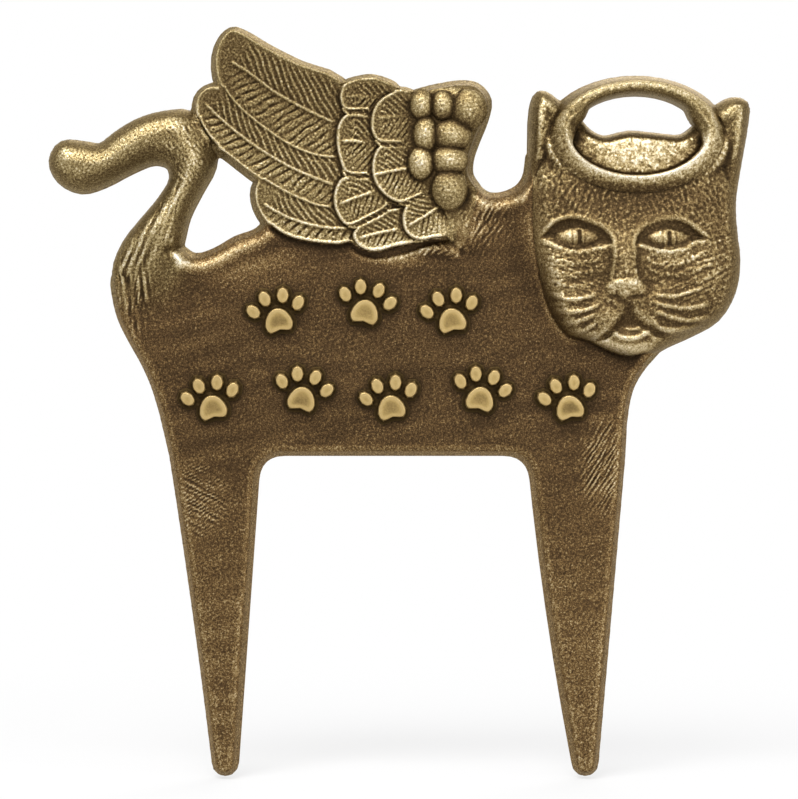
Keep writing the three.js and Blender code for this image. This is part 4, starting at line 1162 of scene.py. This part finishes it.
def show_background(tree, rays):
    """1 for a ray from the camera, and for one that metal or glass sends on, else 0."""
    sent_on = add(tree, "ShaderNodeMath", {"operation": "MAXIMUM"}, _0=rays.outputs["Is Glossy Ray"],
                  _1=rays.outputs["Is Transmission Ray"])
    return add(tree, "ShaderNodeMath", {"operation": "MAXIMUM"}, _0=rays.outputs["Is Camera Ray"],
               _1=sent_on.outputs[0]).outputs[0]


seen = show_background(tree, add(tree, "ShaderNodeLightPath"))
place = add(tree, "ShaderNodeTexCoord").outputs["Object"]
reach = add(tree, "ShaderNodeVectorMath", {"operation": "LENGTH"}, _0=place).outputs["Value"]
faded = add(tree, "ShaderNodeMapRange", {"interpolation_type": "SMOOTHSTEP"}, Value=reach,
            From_Min=FADE_NEAR, From_Max=FADE_FAR, To_Min=0.7)
shown = add(tree, "ShaderNodeMath", {"operation": "MULTIPLY"}, _0=seen, _1=faded.outputs[0])
matt = add(tree, "ShaderNodeBsdfDiffuse", Color=linear("#eeeeee"))
glow = add(tree, "ShaderNodeEmission", Color=linear("#ffffff"), Strength=1.0)
mixed = add(tree, "ShaderNodeMixShader", _0=shown.outputs[0], _1=matt.outputs[0], _2=glow.outputs[0])
add(tree, "ShaderNodeOutputMaterial", Surface=mixed.outputs[0])
floor.data.materials.append(paper)

world = bpy.data.worlds.new("studio")
bpy.context.scene.world = world
world.use_nodes = True
tree = world.node_tree
tree.nodes.clear()
rays = add(tree, "ShaderNodeLightPath")
seen = show_background(tree, rays)
# white behind and above; in reflections it falls off towards the dark side of the room, by the camera
way = add(tree, "ShaderNodeSeparateXYZ", Vector=add(tree, "ShaderNodeTexCoord").outputs["Generated"])
lift = add(tree, "ShaderNodeMath", {"operation": "MULTIPLY_ADD"}, _0=way.outputs["Z"], _1=0.9,
           _2=way.outputs["Y"])
falling = add(tree, "ShaderNodeMapRange", {"interpolation_type": "SMOOTHSTEP"}, Value=lift.outputs[0],
              From_Min=-0.9, From_Max=0.6, To_Min=0.35, To_Max=1.0)
level = add(tree, "ShaderNodeMath", {"operation": "MAXIMUM"}, _0=rays.outputs["Is Camera Ray"],
            _1=falling.outputs[0])
white = add(tree, "ShaderNodeBackground", Color=linear("#ffffff"), Strength=level.outputs[0])
room = add(tree, "ShaderNodeBackground", Color=linear("#f4f4f6"), Strength=0.45)
mixed = add(tree, "ShaderNodeMixShader", _0=seen, _1=room.outputs[0], _2=white.outputs[0])
add(tree, "ShaderNodeOutputWorld", Surface=mixed.outputs[0])

LIGHT_AIM = (0, 0, 0.06)


def softbox(name, place, size, power):
    """A square area light of a size at a place, both in metres, turned to face the plaque's middle."""
    lamp = bpy.data.lights.new(name, "AREA")
    lamp.size = size
    lamp.energy = power
    stand = bpy.data.objects.new(name, lamp)
    stand.location = place
    way = np.subtract(LIGHT_AIM, place)
    tilt, turn = math.acos(-way[2] / np.linalg.norm(way)), math.atan2(way[1], way[0]) - math.pi / 2
    stand.rotation_euler = (tilt, 0, turn)
    bpy.context.scene.collection.objects.link(stand)


softbox("key_light", (-0.25, -0.75, 1.1), 0.7, 14)
softbox("fill_light", (0.9, -1.1, 0.35), 0.9, 6)
softbox("back_light", (0.3, 1.2, 0.9), 0.9, 8)

CAMERA_DISTANCE = 1.0  # metres from the plaque's back
VIEW_HEIGHT = 0.26367  # metres of the back's plane that the picture's longer side takes in
CAMERA_LIFT = 0.0541  # metres above the soil line
camera = bpy.data.cameras.new("camera")
camera.sensor_width = 36
camera.lens = camera.sensor_width * CAMERA_DISTANCE / VIEW_HEIGHT
viewer = bpy.data.objects.new("camera", camera)
viewer.location = (0, -CAMERA_DISTANCE, CAMERA_LIFT)
viewer.rotation_euler = (math.pi / 2, 0, 0)
bpy.context.scene.collection.objects.link(viewer)
bpy.context.scene.camera = viewer
bpy.context.scene.view_settings.view_transform = "Standard"
